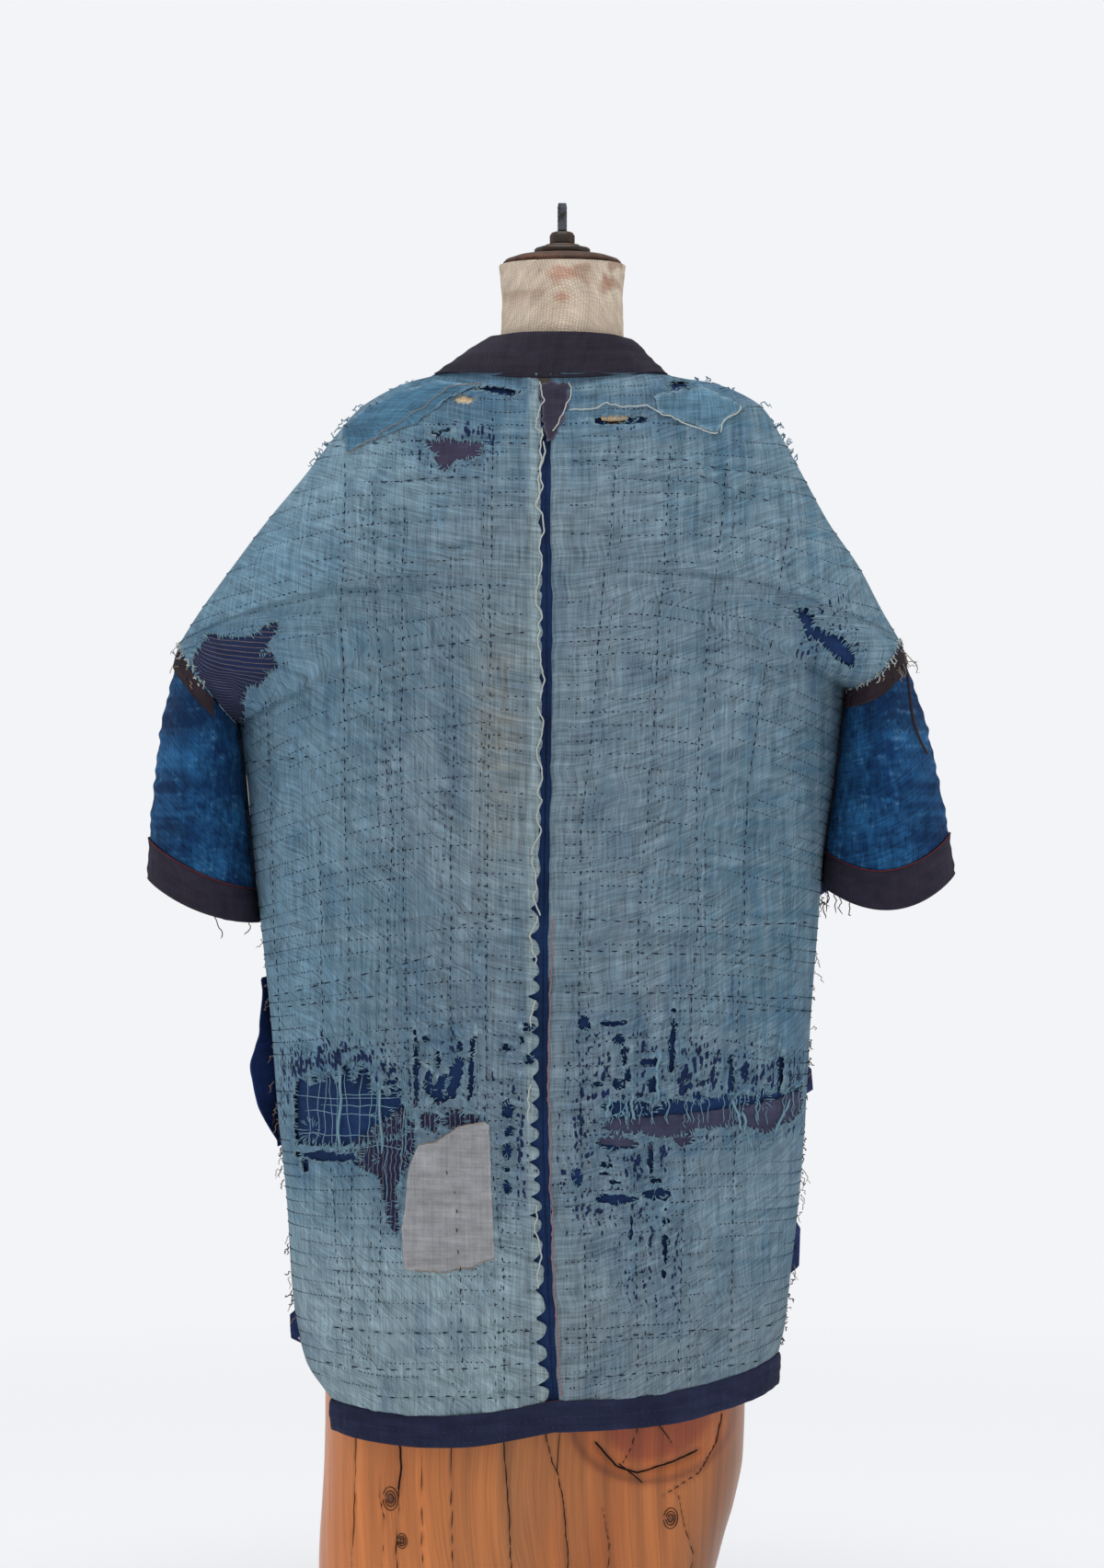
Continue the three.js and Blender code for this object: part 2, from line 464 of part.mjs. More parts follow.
// Grid of a panel's points. offset gives the distance out of the body's surface at a row and column
function panelGrid(side, face, columns, levels, startAt, offset) {
  return levels.map((v, row) => columns.map((u, column) => {
    const start = startAt(v);
    return bodyPoint(side, face, u, v, start)
      .addScaledVector(panelNormal(side, face, u, v, start), offset(row, column));
  }));
}

// Quilting: every second column and every second row of the outer points stands up
function quilted(columns, rows) {
  return (row, column) => {
    const inside = column > 0 && column < columns && row > 0 && row < rows;
    return inside ? QUILT_RISE * (0.7 * (column % 2) + 0.3 * (row % 2)) - 0.2 : 0;
  };
}

// ---------- Rips ----------
function toManifold(mesh) {
  const bare = mesh.geometry.clone();
  for (const key of Object.keys(bare.attributes)) if (key !== 'position') bare.deleteAttribute(key);
  const merged = mergeVertices(bare, 1e-4);
  return new wasm.Manifold(new wasm.Mesh({
    numProp: 3,
    vertProperties: new Float32Array(merged.attributes.position.array),
    triVerts: new Uint32Array(merged.index.array),
  }));
}

function fromManifold(solid, name, colour) {
  const { vertProperties, triVerts } = solid.getMesh();
  const geometry = new THREE.BufferGeometry();
  geometry.setAttribute('position', new THREE.BufferAttribute(new Float32Array(vertProperties), 3));
  geometry.setIndex(new THREE.BufferAttribute(new Uint32Array(triVerts), 1));
  return paintedMesh(name, geometry, colour);
}

// Finds u and v of a place (x, z) on a face of the body
function locate(side, face, x, z) {
  let u = 0.5;
  let v = clamp((BACK_NECK_Z - z) / BACK_LENGTH);
  for (let i = 0; i < 40; i += 1) {
    const p = bodyPoint(side, face, u, v, 0);
    u = clamp(u + (((x - p.x) * side.sign) / 300) * 0.8);
    v = clamp(v + ((p.z - z) / BACK_LENGTH) * 0.8);
  }
  return { u, v };
}

// A cutting prism across the cloth, with an uneven outline that narrows at both ends of the rip
function ripPrism(rip, index) {
  const side = rip.x > 0 ? LEFT : RIGHT;
  const { u, v } = locate(side, BACK, rip.x, rip.z);
  const centre = bodyPoint(side, BACK, u, v, 0);
  const normal = bodyNormal(side, BACK, u, v, 0);
  const up = new THREE.Vector3(0, 0, 1).addScaledVector(normal, -normal.z).normalize();
  const along = new THREE.Vector3().crossVectors(up, normal).normalize();
  const lean = THREE.MathUtils.degToRad(rip.lean) * -side.sign;
  const rings = [-RIP_REACH, RIP_REACH].map((depth) => Array.from({ length: RIP_SIDES }, (_, i) => {
    const angle = (2 * Math.PI * (i + 0.5)) / RIP_SIDES;
    const ragged = 1 + 0.12 * Math.sin(3 * i + index);
    const a = Math.cos(angle) * rip.wide * 0.54 * ragged;
    const b = Math.sin(angle) * rip.tall * 0.54 * ragged;
    return centre.clone().addScaledVector(normal, depth)
      .addScaledVector(along, a * Math.cos(lean) - b * Math.sin(lean))
      .addScaledVector(up, a * Math.sin(lean) + b * Math.cos(lean));
  }));
  return toManifold(loft('rip', rings, 'indigo'));
}

function ripped(mesh, side, rips) {
  let solid = toManifold(mesh);
  rips.forEach((rip, index) => {
    if (Math.sign(rip.x) === side.sign) solid = solid.subtract(ripPrism(rip, index));
  });
  const largest = solid.decompose().sort((a, b) => b.volume() - a.volume())[0];
  const colour = Object.keys(COLOURS).find((key) => COLOURS[key] === mesh.material.color.getHex());
  return fromManifold(largest, mesh.name, colour);
}

// ---------- Making the pieces ----------
const group = new THREE.Group();
const add = (mesh) => group.add(mesh);

const TOP_COLUMNS = 16;
const LOW_COLUMNS = 9;
const topColumns = steps(TOP_COLUMNS);
const topLevels = (side) => rowLevels(side, 7, ARMHOLE_ROWS, 21);
const lowLevels = (side) => rowLevels(side, 6, ARMHOLE_ROWS, 11);
const wornEdge = (side) => (v) => CENTRE_GAP[side.name]
  + (side === LEFT ? SCALLOP.rise * Math.sin((2 * Math.PI * BACK_LENGTH * v) / SCALLOP.pitch) : 0);
const quilt = (side) => quilted(TOP_COLUMNS, topLevels(side).length - 1);
const topGrid = (side, offset) => panelGrid(side, BACK, topColumns, topLevels(side), wornEdge(side), offset);
const flat = (offset) => () => offset;

for (const side of [LEFT, RIGHT]) {
  const top = wall(`back_${side.name}_cloth`, topGrid(side, quilt(side)), topGrid(side, flat(-TOP_CLOTH)), 'lightBlue');
  add(ripped(top, side, RIPS));

  const low = (face, startAt, offset) => panelGrid(side, face, steps(LOW_COLUMNS), lowLevels(side), startAt, flat(offset));
  const backing = (offset) => low(BACKED, flat(0.1), offset);
  const under = wall(`back_${side.name}_under`, backing(BACKING_OUT), backing(BACKING_IN), 'indigo');
  add(ripped(under, side, RIPS.slice(0, THROUGH_RIPS)));

  const front = (offset) => low(FRONT, (v) => smooth(LEVELS, 'opening', v), offset);
  add(wall(`front_${side.name}`, front(0), front(-FRONT_WALL), 'lightBlue'));
}

// A patch is made from the top cloth's points, moved out or in, and cut to its own outline
function patch({ name, lies, colour, corners }) {
  const side = corners[1][0] > 0 ? LEFT : RIGHT;
  const shift = lies === 'on' ? LAP : -TOP_CLOTH - LAP - UNDER_PATCH;
  const thickness = lies === 'on' ? LAID_PATCH : UNDER_PATCH;
  const follow = lies === 'on' ? quilt(side) : flat(0);
  const lower = topGrid(side, (row, column) => follow(row, column) + shift);
  const upper = topGrid(side, (row, column) => follow(row, column) + shift + thickness);
  const xs = corners.map(([x]) => x * side.sign);
  const zs = corners.map(([, z]) => z);
  const near = (p) => p.x * side.sign > Math.min(...xs) && p.x * side.sign < Math.max(...xs)
    && p.z > Math.min(...zs) && p.z < Math.max(...zs);
  const rows = lower.map((row, r) => (row.some(near) ? r : -1)).filter((r) => r >= 0);
  const columns = topColumns.map((_, c) => (lower.some((row) => near(row[c])) ? c : -1)).filter((c) => c >= 0);
  const cut = (grid) => grid.slice(Math.max(rows[0] - 1, 0), rows.at(-1) + 2)
    .map((row) => row.slice(Math.max(columns[0] - 1, 0), columns.at(-1) + 2));
  const sheet = toManifold(wall(name, cut(upper), cut(lower), colour));
  const outline = [5, 220].map((y) => corners.map(([x, z]) => new THREE.Vector3(x, y, z)));
  return fromManifold(sheet.intersect(toManifold(loft('outline', outline, colour))), name, colour);
}
PATCHES.forEach((row) => add(patch(row)));

// The torn flap hangs from the left side seam, over the edge of the front
const flapLevels = rowLevels(LEFT, 6, ARMHOLE_ROWS, 22).filter((v) => v > 0.55 && v < 0.745);
const flapRow = (lift) => flapLevels.map((v) => [0.9, 0.95, 1].map((u, i) => {
  const off = smooth(FLAP, 'off', v) * (i / 2) ** 2 + lift;
  return bodyPoint(LEFT, FRONT, u, v, 0).addScaledVector(bodyNormal(LEFT, FRONT, u, v, 0), off);
}));
add(wall('side_flap_left', flapRow(2.2), flapRow(1), 'indigo'));

// ---------- Sleeves, their cuffs and the bands over their seams ----------
const turns = Array.from({ length: SLEEVE_COLUMNS }, (_, i) => (2 * Math.PI * i) / SLEEVE_COLUMNS);
const AT_SEAM = 0.01; // a row nearer to the armhole than this share belongs to the seam

function sleevePlace(side, turn, share, offset) {
  const own = sleeveNormal(side, turn, Math.max(share, 0.004));
  const half = turn <= Math.PI ? turn : 2 * Math.PI - turn;
  const level = mix(side.ridge.at(-1).v, side.side[0].v, half / Math.PI);
  const body = bodyNormal(side, turn <= Math.PI ? BACK : FRONT, 1, level, 0);
  const normal = share < AT_SEAM ? seamNormal(own, body) : own;
  return sleevePoint(side, turn, share).addScaledVector(normal, offset);
}

// In the row at the seam every second point lies halfway between its neighbours, so that the row
// has the same straight stretches as the body's edge
function sleeveRow(side, share, offset) {
  const row = turns.map((turn) => sleevePlace(side, turn, share, offset));
  if (share >= AT_SEAM) return row;
  return row.map((p, i) => (i % 2 ? row[i - 1].clone().lerp(row[(i + 1) % row.length], 0.5) : p));
}

function tube(name, side, shares, out, inner, colour) {
  const rows = (offset) => shares.map((share) => sleeveRow(side, share, offset));
  return wall(name, rows(out), rows(inner), colour, true);
}

// The armhole band lies on the first stretch of the sleeve, and stops short of the underarm
function armholeBand(side, shares) {
  const around = 6; // columns on each side of the shoulder line
  const grid = (offset) => {
    const [first, second, third] = shares.map((share) => sleeveRow(side, share, offset));
    const between = (a, b, s) => a.map((p, i) => p.clone().lerp(b[i], s));
    return [between(first, second, 0.15), second, between(second, third, 0.5)]
      .map((row) => [...row.slice(-around), ...row.slice(0, around + 1)]);
  };
  return wall(`armhole_band_${side.name}`, grid(BAND_LIFT + LAID_PATCH), grid(BAND_LIFT), 'darkBand');
}

const SLEEVE_LENGTH = 200; // armhole to mouth along the outer side
const seamShare = SEAM / SLEEVE_LENGTH;
const sleeveShares = steps(7, 1.4).map((s) => mix(2 * seamShare, CUFF_SHARE, s));
const cuffShares = steps(2).map((s) => mix(CUFF_SHARE + 1.5 * seamShare, 1, s));
for (const side of [LEFT, RIGHT]) {
  add(tube(`sleeve_${side.name}`, side, sleeveShares, 0, -SLEEVE_WALL, 'sleeveBlue'));
  add(tube(`cuff_${side.name}`, side, cuffShares, 0.6, -SLEEVE_WALL, 'darkBand'));
  add(armholeBand(side, sleeveShares));
}

// ---------- Hem bands and collar ----------
// A strip under the edge of the cloth, as thick as what it binds
function hemStrip(name, stations, wallIn) {
  const row = (drop, offset) => stations.map(({ side, face, u, start }) => bodyPoint(side, face, u, 1, start)
    .addScaledVector(bodyNormal(side, face, u, 1, start).setZ(0).normalize(), offset)
    .add(new THREE.Vector3(0, 0, -drop)));
  const drops = [2 * SEAM, HEM_HEIGHT];
  return wall(name, drops.map((drop) => row(drop, 0.6)), drops.map((drop) => row(drop, wallIn)), 'hemBand');
}

const hemSteps = steps(9);
add(hemStrip('hem_back', [
  ...hemSteps.toReversed().map((u) => ({ side: LEFT, face: BACK, u, start: 0 })),
  ...hemSteps.slice(1).map((u) => ({ side: RIGHT, face: BACK, u, start: 0 })),
], BACKING_IN));
for (const side of [LEFT, RIGHT]) {
  const stations = hemSteps.map((u) => ({ side, face: FRONT, u, start: LEVELS.at(-1).opening }));
  add(hemStrip(`hem_front_${side.name}`, stations, -FRONT_WALL));
}

// The collar band: seam and free edge at each station, up one front, round the neck, down the other
const NECK = { x: -3, halfWidth: 67, halfDepth: 57, z: 1137, sideFall: 6 };
function frontStation(side, v) {
  const opening = smooth(LEVELS, 'opening', v);
  const seam = bodyPoint(side, FRONT, 0, v, opening);
  const rise = THREE.MathUtils.degToRad(34) * ease(0.3, 0, v);
  const freeX = opening - COLLAR_WIDTH * Math.cos(rise);
  const free = bodyPoint(side, FRONT, 0, v, Math.max(freeX, 0));
  free.z = seam.z + COLLAR_WIDTH * Math.sin(rise);
  return { seam, free };
}
function backStation(side, u) {
  const seam = bodyPoint(side, BACK, u, 0, 0);
  const turn = (u * Math.PI) / 2;
  const free = new THREE.Vector3(
    NECK.x + side.sign * NECK.halfWidth * Math.sin(turn),
    NECK.halfDepth * Math.cos(turn) ** 0.8,
    NECK.z - NECK.sideFall * u * u,
  );
  return { seam, free };
}
const collarPath = [
  ...lowLevels(LEFT).toReversed().map((v) => frontStation(LEFT, v)),
  ...steps(6).toReversed().map((u) => backStation(LEFT, u)),
  ...steps(6).slice(1).map((u) => backStation(RIGHT, u)),
  ...lowLevels(RIGHT).map((v) => frontStation(RIGHT, v)),
];
const collarNormals = collarPath.map(({ seam, free }, i) => {
  const before = collarPath[Math.max(i - 1, 0)].seam;
  const after = collarPath[Math.min(i + 1, collarPath.length - 1)].seam;
  return after.clone().sub(before).cross(free.clone().sub(seam)).normalize();
});
const collarGrid = (offset) => [2 * SEAM / COLLAR_WIDTH, 0.5, 1].map((across) => collarPath.map(
  ({ seam, free }, i) => seam.clone().lerp(free, across).addScaledVector(collarNormals[i], offset),
));
add(wall('collar', collarGrid(0), collarGrid(-COLLAR_WALL), 'darkBand'));

// ---------- Dress form and stump ----------
const ring = (count, place) => Array.from({ length: count }, (_, i) => place((2 * Math.PI * i) / count));
const FORM_POWER = 2.2; // squareness of the form's sections
const squared = (value, power) => Math.sign(value) * Math.abs(value) ** (2 / power);
const formRings = FORM.map(({ z, halfWidth, halfDepth }) => ring(22, (a) => new THREE.Vector3(
  FORM_X + halfWidth * squared(Math.cos(a), FORM_POWER),
  halfDepth * squared(Math.sin(a), FORM_POWER),
  z,
)));
add(loft('form_torso', formRings, 'jersey'));

const neckTop = FORM.at(-1).z;
function turned(name, profile, count) {
  const rings = profile.map(([radius, height]) => ring(count, (a) => new THREE.Vector3(
    FORM_X + radius * Math.cos(a), radius * Math.sin(a), neckTop + height,
  )));
  return loft(name, rings, 'iron');
}
add(turned('form_neck_cap', CAP, 20));
add(turned('form_flange', FLANGE, 20));
add(turned('form_nut', NUT, 12));
const spindle = new THREE.BoxGeometry(SPINDLE.side, SPINDLE.side, SPINDLE.to - SPINDLE.from);
spindle.translate(FORM_X, 0, neckTop + (SPINDLE.from + SPINDLE.to) / 2);
add(paintedMesh('form_spindle', spindle, 'iron'));

const STUMP_POWER = 2.3;
const stumpRings = STUMP.map(({ z, left, right, halfDepth }) => ring(24, (a) => new THREE.Vector3(
  (left + right) / 2 + ((left - right) / 2) * squared(Math.cos(a), STUMP_POWER),
  STUMP_Y + halfDepth * squared(Math.sin(a), STUMP_POWER),
  z,
)));
add(loft('stump', stumpRings, 'wood'));

export default group;
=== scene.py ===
# %% [markdown]
# # Boro noragi jacket on an antique dress form
# A farm jacket of old indigo cotton, patched and quilted by hand, on a form that stands on a trunk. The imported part
# is the frame. Cloth could be simulated, but this jacket hangs stretched and nearly flat, so each sheet is a grid on
# the surface of its CAD node, with finer quilting, rips, stitches and threads. Lengths are millimetres until a mesh
# is made.

# %% Frame and imports
import math

import bmesh
import bpy
import numpy as np
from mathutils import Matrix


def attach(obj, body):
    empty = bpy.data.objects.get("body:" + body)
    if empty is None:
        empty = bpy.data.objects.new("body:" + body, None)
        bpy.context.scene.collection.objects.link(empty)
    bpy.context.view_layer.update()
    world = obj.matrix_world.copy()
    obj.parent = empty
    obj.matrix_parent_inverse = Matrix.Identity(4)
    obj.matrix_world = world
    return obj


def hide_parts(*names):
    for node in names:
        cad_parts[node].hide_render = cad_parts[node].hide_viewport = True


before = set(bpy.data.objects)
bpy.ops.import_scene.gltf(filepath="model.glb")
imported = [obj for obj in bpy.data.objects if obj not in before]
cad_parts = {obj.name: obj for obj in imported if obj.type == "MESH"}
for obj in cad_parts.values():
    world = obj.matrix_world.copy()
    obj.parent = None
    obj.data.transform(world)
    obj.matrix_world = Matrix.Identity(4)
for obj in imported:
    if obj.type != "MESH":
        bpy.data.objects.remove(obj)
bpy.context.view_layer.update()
MM = 0.001
rng = np.random.default_rng(11)
print("CAD nodes:", len(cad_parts))

# %% [markdown]
# ## The jacket's surface
# Each half is one length of cloth that falls from the shoulder. Sculpted by hand it would drift away from its solid,
# so the same tables and formulas as in the part's source are used, for whole arrays of points at once. `u` runs from
# the centre seam to the side, `v` down the cloth.

# %% Tables of the body
SECTION_POWER, DROOP_POWER, ARMHOLE_HALF_DEPTH = 2.5, 2.2, 90
BACK_NECK_Z, BACK_LENGTH = 1096, 860
BACK, FRONT = 1, -1
LEVELS = [  # v, seam x, depth of the back, depth of the front, front opening
    (0, 8, 60, 60, 90), (0.024, 8, 75, 68, 88), (0.072, 8, 92, 84, 84), (0.135, 8, 108, 98, 79),
    (0.2, 7, 119, 106, 74), (0.3, 7, 127, 112, 69), (0.5, 9, 140, 120, 66), (0.7, 10, 147, 128, 66),
    (0.9, 5, 150, 134, 68), (1, 1, 150, 136, 70),
]
SEAM_X, BACK_DEPTH, FRONT_DEPTH, OPENING = 1, 2, 3, 4
LEFT = {
    "name": "left", "sign": 1, "armhole_dip": 0, "hem_dip": -12,
    "ridge": [(0, 106, 1104), (0.009, 131, 1097), (0.024, 169, 1076), (0.04, 187, 1056), (0.072, 218, 1016),
              (0.105, 251, 976), (0.135, 281, 936), (0.167, 310, 896), (0.186, 325, 872)],
    "side": [(0.258, 273, 0, 800), (0.33, 266, 0, 745), (0.4, 262, 0, 697), (0.5, 254, 0, 622), (0.6, 246, 0, 545),
             (0.7, 240, 3, 467), (0.8, 232, 14, 390), (0.9, 225, 38, 309), (0.96, 213, 58, 258), (1, 190, 72, 226)],
    "cuff": (353, 669, 256, 630, 8, 66),
}
RIGHT = {
    "name": "right", "sign": -1, "armhole_dip": 10, "hem_dip": 0,
    "ridge": [(0, 100, 1104), (0.01, 140, 1097), (0.024, 180, 1077), (0.04, 194, 1056), (0.072, 216, 1016),
              (0.105, 238, 976), (0.135, 264, 938), (0.16, 284, 900), (0.181, 298, 876)],
    "side": [(0.2326, 252, 0, 832), (0.33, 242, 0, 752), (0.4, 234, 0, 700), (0.5, 228, 0, 625), (0.6, 222, 0, 549),
             (0.7, 218, 3, 472), (0.8, 212, 10, 396), (0.9, 203, 24, 322), (0.96, 198, 36, 285), (1, 192, 44, 262)],
    "cuff": (347, 673, 228, 664, 26, 66),
}
SIDES = (LEFT, RIGHT)
print("body tables:", len(LEVELS), "levels")

# %% [markdown]
# Old cotton hangs in low, straight folds. They could be sculpted, but a row of numbers for each is easy to change,
# and rows add up where folds cross.

# %% Folds
FOLDS = {  # from x, from z, to x, to z, width, rise
    BACK: [
        (-10, 866, -6, 668, 8, 4), (-17, 850, -14, 660, 10, -3), (-10, 652, -120, 634, 8, 5),
        (-120, 634, -205, 640, 9, 4), (-20, 634, -190, 618, 14, -4), (166, 1005, 184, 870, 20, 6),
        (140, 980, 158, 860, 16, -4), (184, 760, 150, 560, 26, 5), (215, 700, 196, 520, 16, -5),
        (230, 640, 120, 600, 14, -4), (-150, 1000, -176, 850, 20, 5), (-185, 960, -215, 850, 16, -3),
        (-160, 826, -236, 846, 9, 4), (-150, 800, -232, 812, 13, -3), (-70, 560, -60, 300, 24, 4),
        (-140, 420, -130, 250, 22, -5), (150, 400, 132, 240, 22, 6), (90, 350, 84, 240, 20, -5),
        (152, 1020, 166, 600, 9, 3.5), (104, 985, 106, 600, 12, 3), (118, 985, 118, 640, 6, -2.5),
        (68, 1000, 72, 620, 10, 2.5), (80, 980, 84, 640, 6, -2), (196, 940, 206, 700, 10, 3),
        (222, 900, 226, 640, 8, -3), (236, 800, 232, 560, 7, 3), (-62, 1010, -44, 640, 11, 3),
        (-88, 1000, -72, 660, 7, -2), (-112, 1000, -96, 640, 10, 3), (-136, 990, -126, 660, 6, -2),
        (-176, 930, -152, 660, 10, 3), (-196, 900, -186, 640, 7, -3), (-214, 800, -206, 560, 7, 3),
        (200, 860, 262, 830, 6, 3), (196, 842, 262, 806, 7, -3), (190, 440, 176, 260, 12, 3),
        (60, 340, 56, 230, 12, 3), (120, 330, 116, 230, 9, -3), (-40, 400, -44, 240, 10, 3),
        (-100, 380, -96, 240, 12, 3), (-172, 420, -168, 270, 9, 3), (130, 1050, 200, 960, 8, 3),
        (150, 1060, 216, 976, 6, -2), (-140, 1040, -200, 960, 8, 3), (-130, 1050, -190, 980, 6, -2),
    ],
    FRONT: [
        (170, 1000, 120, 760, 24, 6), (225, 840, 150, 560, 22, -6), (120, 560, 110, 250, 24, 7),
        (-165, 1000, -115, 780, 24, 6), (-205, 840, -140, 590, 20, -6), (-120, 540, -110, 260, 26, 7),
    ],
}
print("folds:", {face: len(rows) for face, rows in FOLDS.items()})

# %% [markdown]
# Dyed cloth is uneven and hand sewing wavers. Textures give unevenness to a shader alone, so colours, soft steps and
# noise that repeats with its seed are worked out here, where shapes can use them too.

# %% Helpers
def colour(code):
    value = np.array([int(code[i:i + 2], 16) / 255 for i in (1, 3, 5)])
    return np.where(value <= 0.04045, value / 12.92, ((value + 0.055) / 1.055) ** 2.4)


def ease(start, end, t):
    s = np.clip((t - start) / (end - start), 0, 1)
    return s * s * (3 - 2 * s)


LATTICE = 64  # cells after which the noise repeats


def noise(a, b, size_a, size_b, seed):
    """Smooth noise from 0 to 1 with patches of the given size, in two turned layers."""
    a, b = np.asarray(a, float) / size_a, np.asarray(b, float) / size_b
    return 0.5 + 0.75 * (lattice(a, b, seed) + lattice(0.8 * a + 0.6 * b, 0.8 * b - 0.6 * a, seed + 500) - 1)


def lattice(ga, gb, seed):
    table = np.random.default_rng(seed).random((LATTICE, LATTICE))
    ia, ib = np.floor(ga).astype(int), np.floor(gb).astype(int)
    fa, fb = ga - ia, gb - ib
    fa, fb = fa * fa * (3 - 2 * fa), fb * fb * (3 - 2 * fb)
    here, there = (ia % LATTICE, (ia + 1) % LATTICE), (ib % LATTICE, (ib + 1) % LATTICE)
    near, far = (table[here[0], row] * (1 - fa) + table[here[1], row] * fa for row in there)
    return near * (1 - fb) + far * fb


def cloudy(a, b, size_a, size_b, seed):
    """Three layers of noise, each half the size of the one before."""
    return sum(noise(a, b, size_a / 2 ** k, size_b / 2 ** k, seed + 7 * k) * 0.55 ** k for k in range(3)) / 1.8525


def blend(base, other, share):
    return base + (other - base) * np.asarray(share)[..., None]


def beside(x, z, x0, z0, x1, z1):
    """How far along a straight line each place lies, as a share of it, and how far off."""
    along = ((x - x0) * (x1 - x0) + (z - z0) * (z1 - z0)) / ((x1 - x0) ** 2 + (z1 - z0) ** 2)
    near = np.clip(along, 0, 1)
    return along, np.hypot(x - x0 - (x1 - x0) * near, z - z0 - (z1 - z0) * near)


def run_of(line):
    """Length from the start of a line to each of its points."""
    return np.concatenate([[0], np.cumsum(np.linalg.norm(np.diff(line, axis=0), axis=1))])


def follow(line, run, at):
    """Points of a line at the lengths that are asked for."""
    return np.stack([np.interp(at, run, column) for column in line.T], -1)


print("one step of ease:", float(ease(0, 1, 0.25)))

# %% [markdown]
# A body half ends at the shoulder's fold, the armhole, the side seam and the slit. A spline through the table would
# swing out beside a short step, so the curve here never goes past the values that it joins.

# %% Edge of a body half
def smooth(table, column, v):
    rows = np.array([(row[0], row[column]) for row in table], float)
    at, value = rows[:, 0], rows[:, 1]
    slope = np.diff(value) / np.diff(at)
    before, after = slope[:-1], slope[1:]
    total = np.where(before + after == 0, 1, before + after)
    inner = np.where(before * after <= 0, 0, 2 * before * after / total)
    tangent = np.concatenate([slope[:1], inner, slope[-1:]])
    v = np.clip(v, at[0], at[-1])
    i = np.clip(np.searchsorted(at, v, side="right") - 1, 0, len(at) - 2)
    span = at[i + 1] - at[i]
    s = (v - at[i]) / span
    between = value[i] * (1 + 2 * s) * (1 - s) ** 2 + value[i + 1] * s * s * (3 - 2 * s)
    return between + span * (tangent[i] * s * (1 - s) ** 2 + tangent[i + 1] * s * s * (s - 1))


def armhole(side, turn):
    top, pit = side["ridge"][-1], side["side"][0]
    across, out = np.cos(turn), np.sin(turn)
    x = (top[1] + pit[1]) / 2 + (top[1] - pit[1]) / 2 * across
    z = (top[2] + pit[3]) / 2 + (top[2] - pit[3]) / 2 * across - side["armhole_dip"] * out * out
    return x, ARMHOLE_HALF_DEPTH * out, z


def edge(side, v):
    """Shoulder fold, armhole loop, then side seam and slit."""
    v = np.asarray(v, float)
    top, pit = side["ridge"][-1], side["side"][0]
    loop = armhole(side, np.pi * (v - top[0]) / (pit[0] - top[0]))
    ridge = (smooth(side["ridge"], 1, v), 0 * v, smooth(side["ridge"], 2, v))
    low = [smooth(side["side"], column, v) for column in (1, 2, 3)]
    return [np.where(v <= top[0], a, np.where(v < pit[0], b, c)) for a, b, c in zip(ridge, loop, low)]


print("left armpit at", [float(np.round(value, 1)) for value in edge(LEFT, 0.258)])

# %% [markdown]
# Top cloth and backing are quilted together: rows of running stitch 11.5 mm apart, crossed by long upright lines,
# hold the cloth down and let it rise between them. Bump alone would leave edges and outline flat, so the rise is
# in the mesh.

# %% Quilting relief
ROW_PITCH = 11.5
UPRIGHT_LINES = [  # where long lines of stitches run down the back: (x, z) points
    [(53, 1064), (54, 867), (58, 636), (57, 468), (44, 346), (42, 238)],
    [(87, 945), (85, 752), (87, 590), (80, 330), (76, 250)], [(127, 977), (130, 790), (125, 575), (121, 483)],
    [(156, 1009), (148, 868), (137, 713), (150, 300)], [(179, 1027), (179, 829), (174, 597), (170, 250)],
    [(245, 822), (241, 673), (235, 515)], [(200, 713), (196, 519), (179, 286)],
    [(-54, 1040), (-36, 867), (-22, 713), (-21, 483), (-28, 254)],
    [(-99, 1041), (-84, 836), (-71, 636), (-67, 406), (-70, 256)],
    [(-146, 1026), (-131, 883), (-119, 752), (-121, 636), (-109, 482), (-105, 252)],
    [(-202, 979), (-183, 868), (-164, 752), (-152, 481), (-149, 264)],
]


FRONT_SHIFT = 37  # moves the front's pattern, so that it doesn't mirror the back's


def quilting_wander(x, down):
    return 6 * noise(x, down, 60, 45, 5) + 0.06 * np.abs(x)


def quilting(x, z, down):
    between = np.abs(np.sin(np.pi * (down + quilting_wander(x, down)) / ROW_PITCH)) ** 0.6
    rise = between * (0.4 + 1.5 * noise(x, down, 40, 16, 6)) + 2.4 * (noise(x, down, 15, 6, 7) - 0.5)
    for line in UPRIGHT_LINES:
        places = np.array(line[::-1], float)
        off = np.interp(z, places[:, 1], places[:, 0]) - x
        reach = ease(places[0, 1] - 8, places[0, 1], z) * ease(places[-1, 1] + 8, places[-1, 1], z)
        rise = rise - reach * (1.3 * np.exp(-((off / 3) ** 2)) + 0.9 * np.exp(-((off / 9) ** 2)))
    beside_seam = ease(2, 16, np.abs(x - smooth(LEVELS, SEAM_X, down / BACK_LENGTH)))
    return np.clip(rise - 0.9, -2.5, 3) * (0.3 + 0.7 * beside_seam)


print("upright lines of stitches:", len(UPRIGHT_LINES))

# %% [markdown]
# A point of the cloth: the section gives x and y, the fall of the cloth gives z, and each fold adds its rise. A
# subdivided cage could be drawn to the same shape, but only a formula can be asked for any point. The outward
# direction comes from two short steps along the surface.

# %% Points on the body
def section(share):
    """Depth left in a section at a share of its half-width, or the other way round."""
    return (1 - share ** SECTION_POWER) ** (1 / SECTION_POWER)


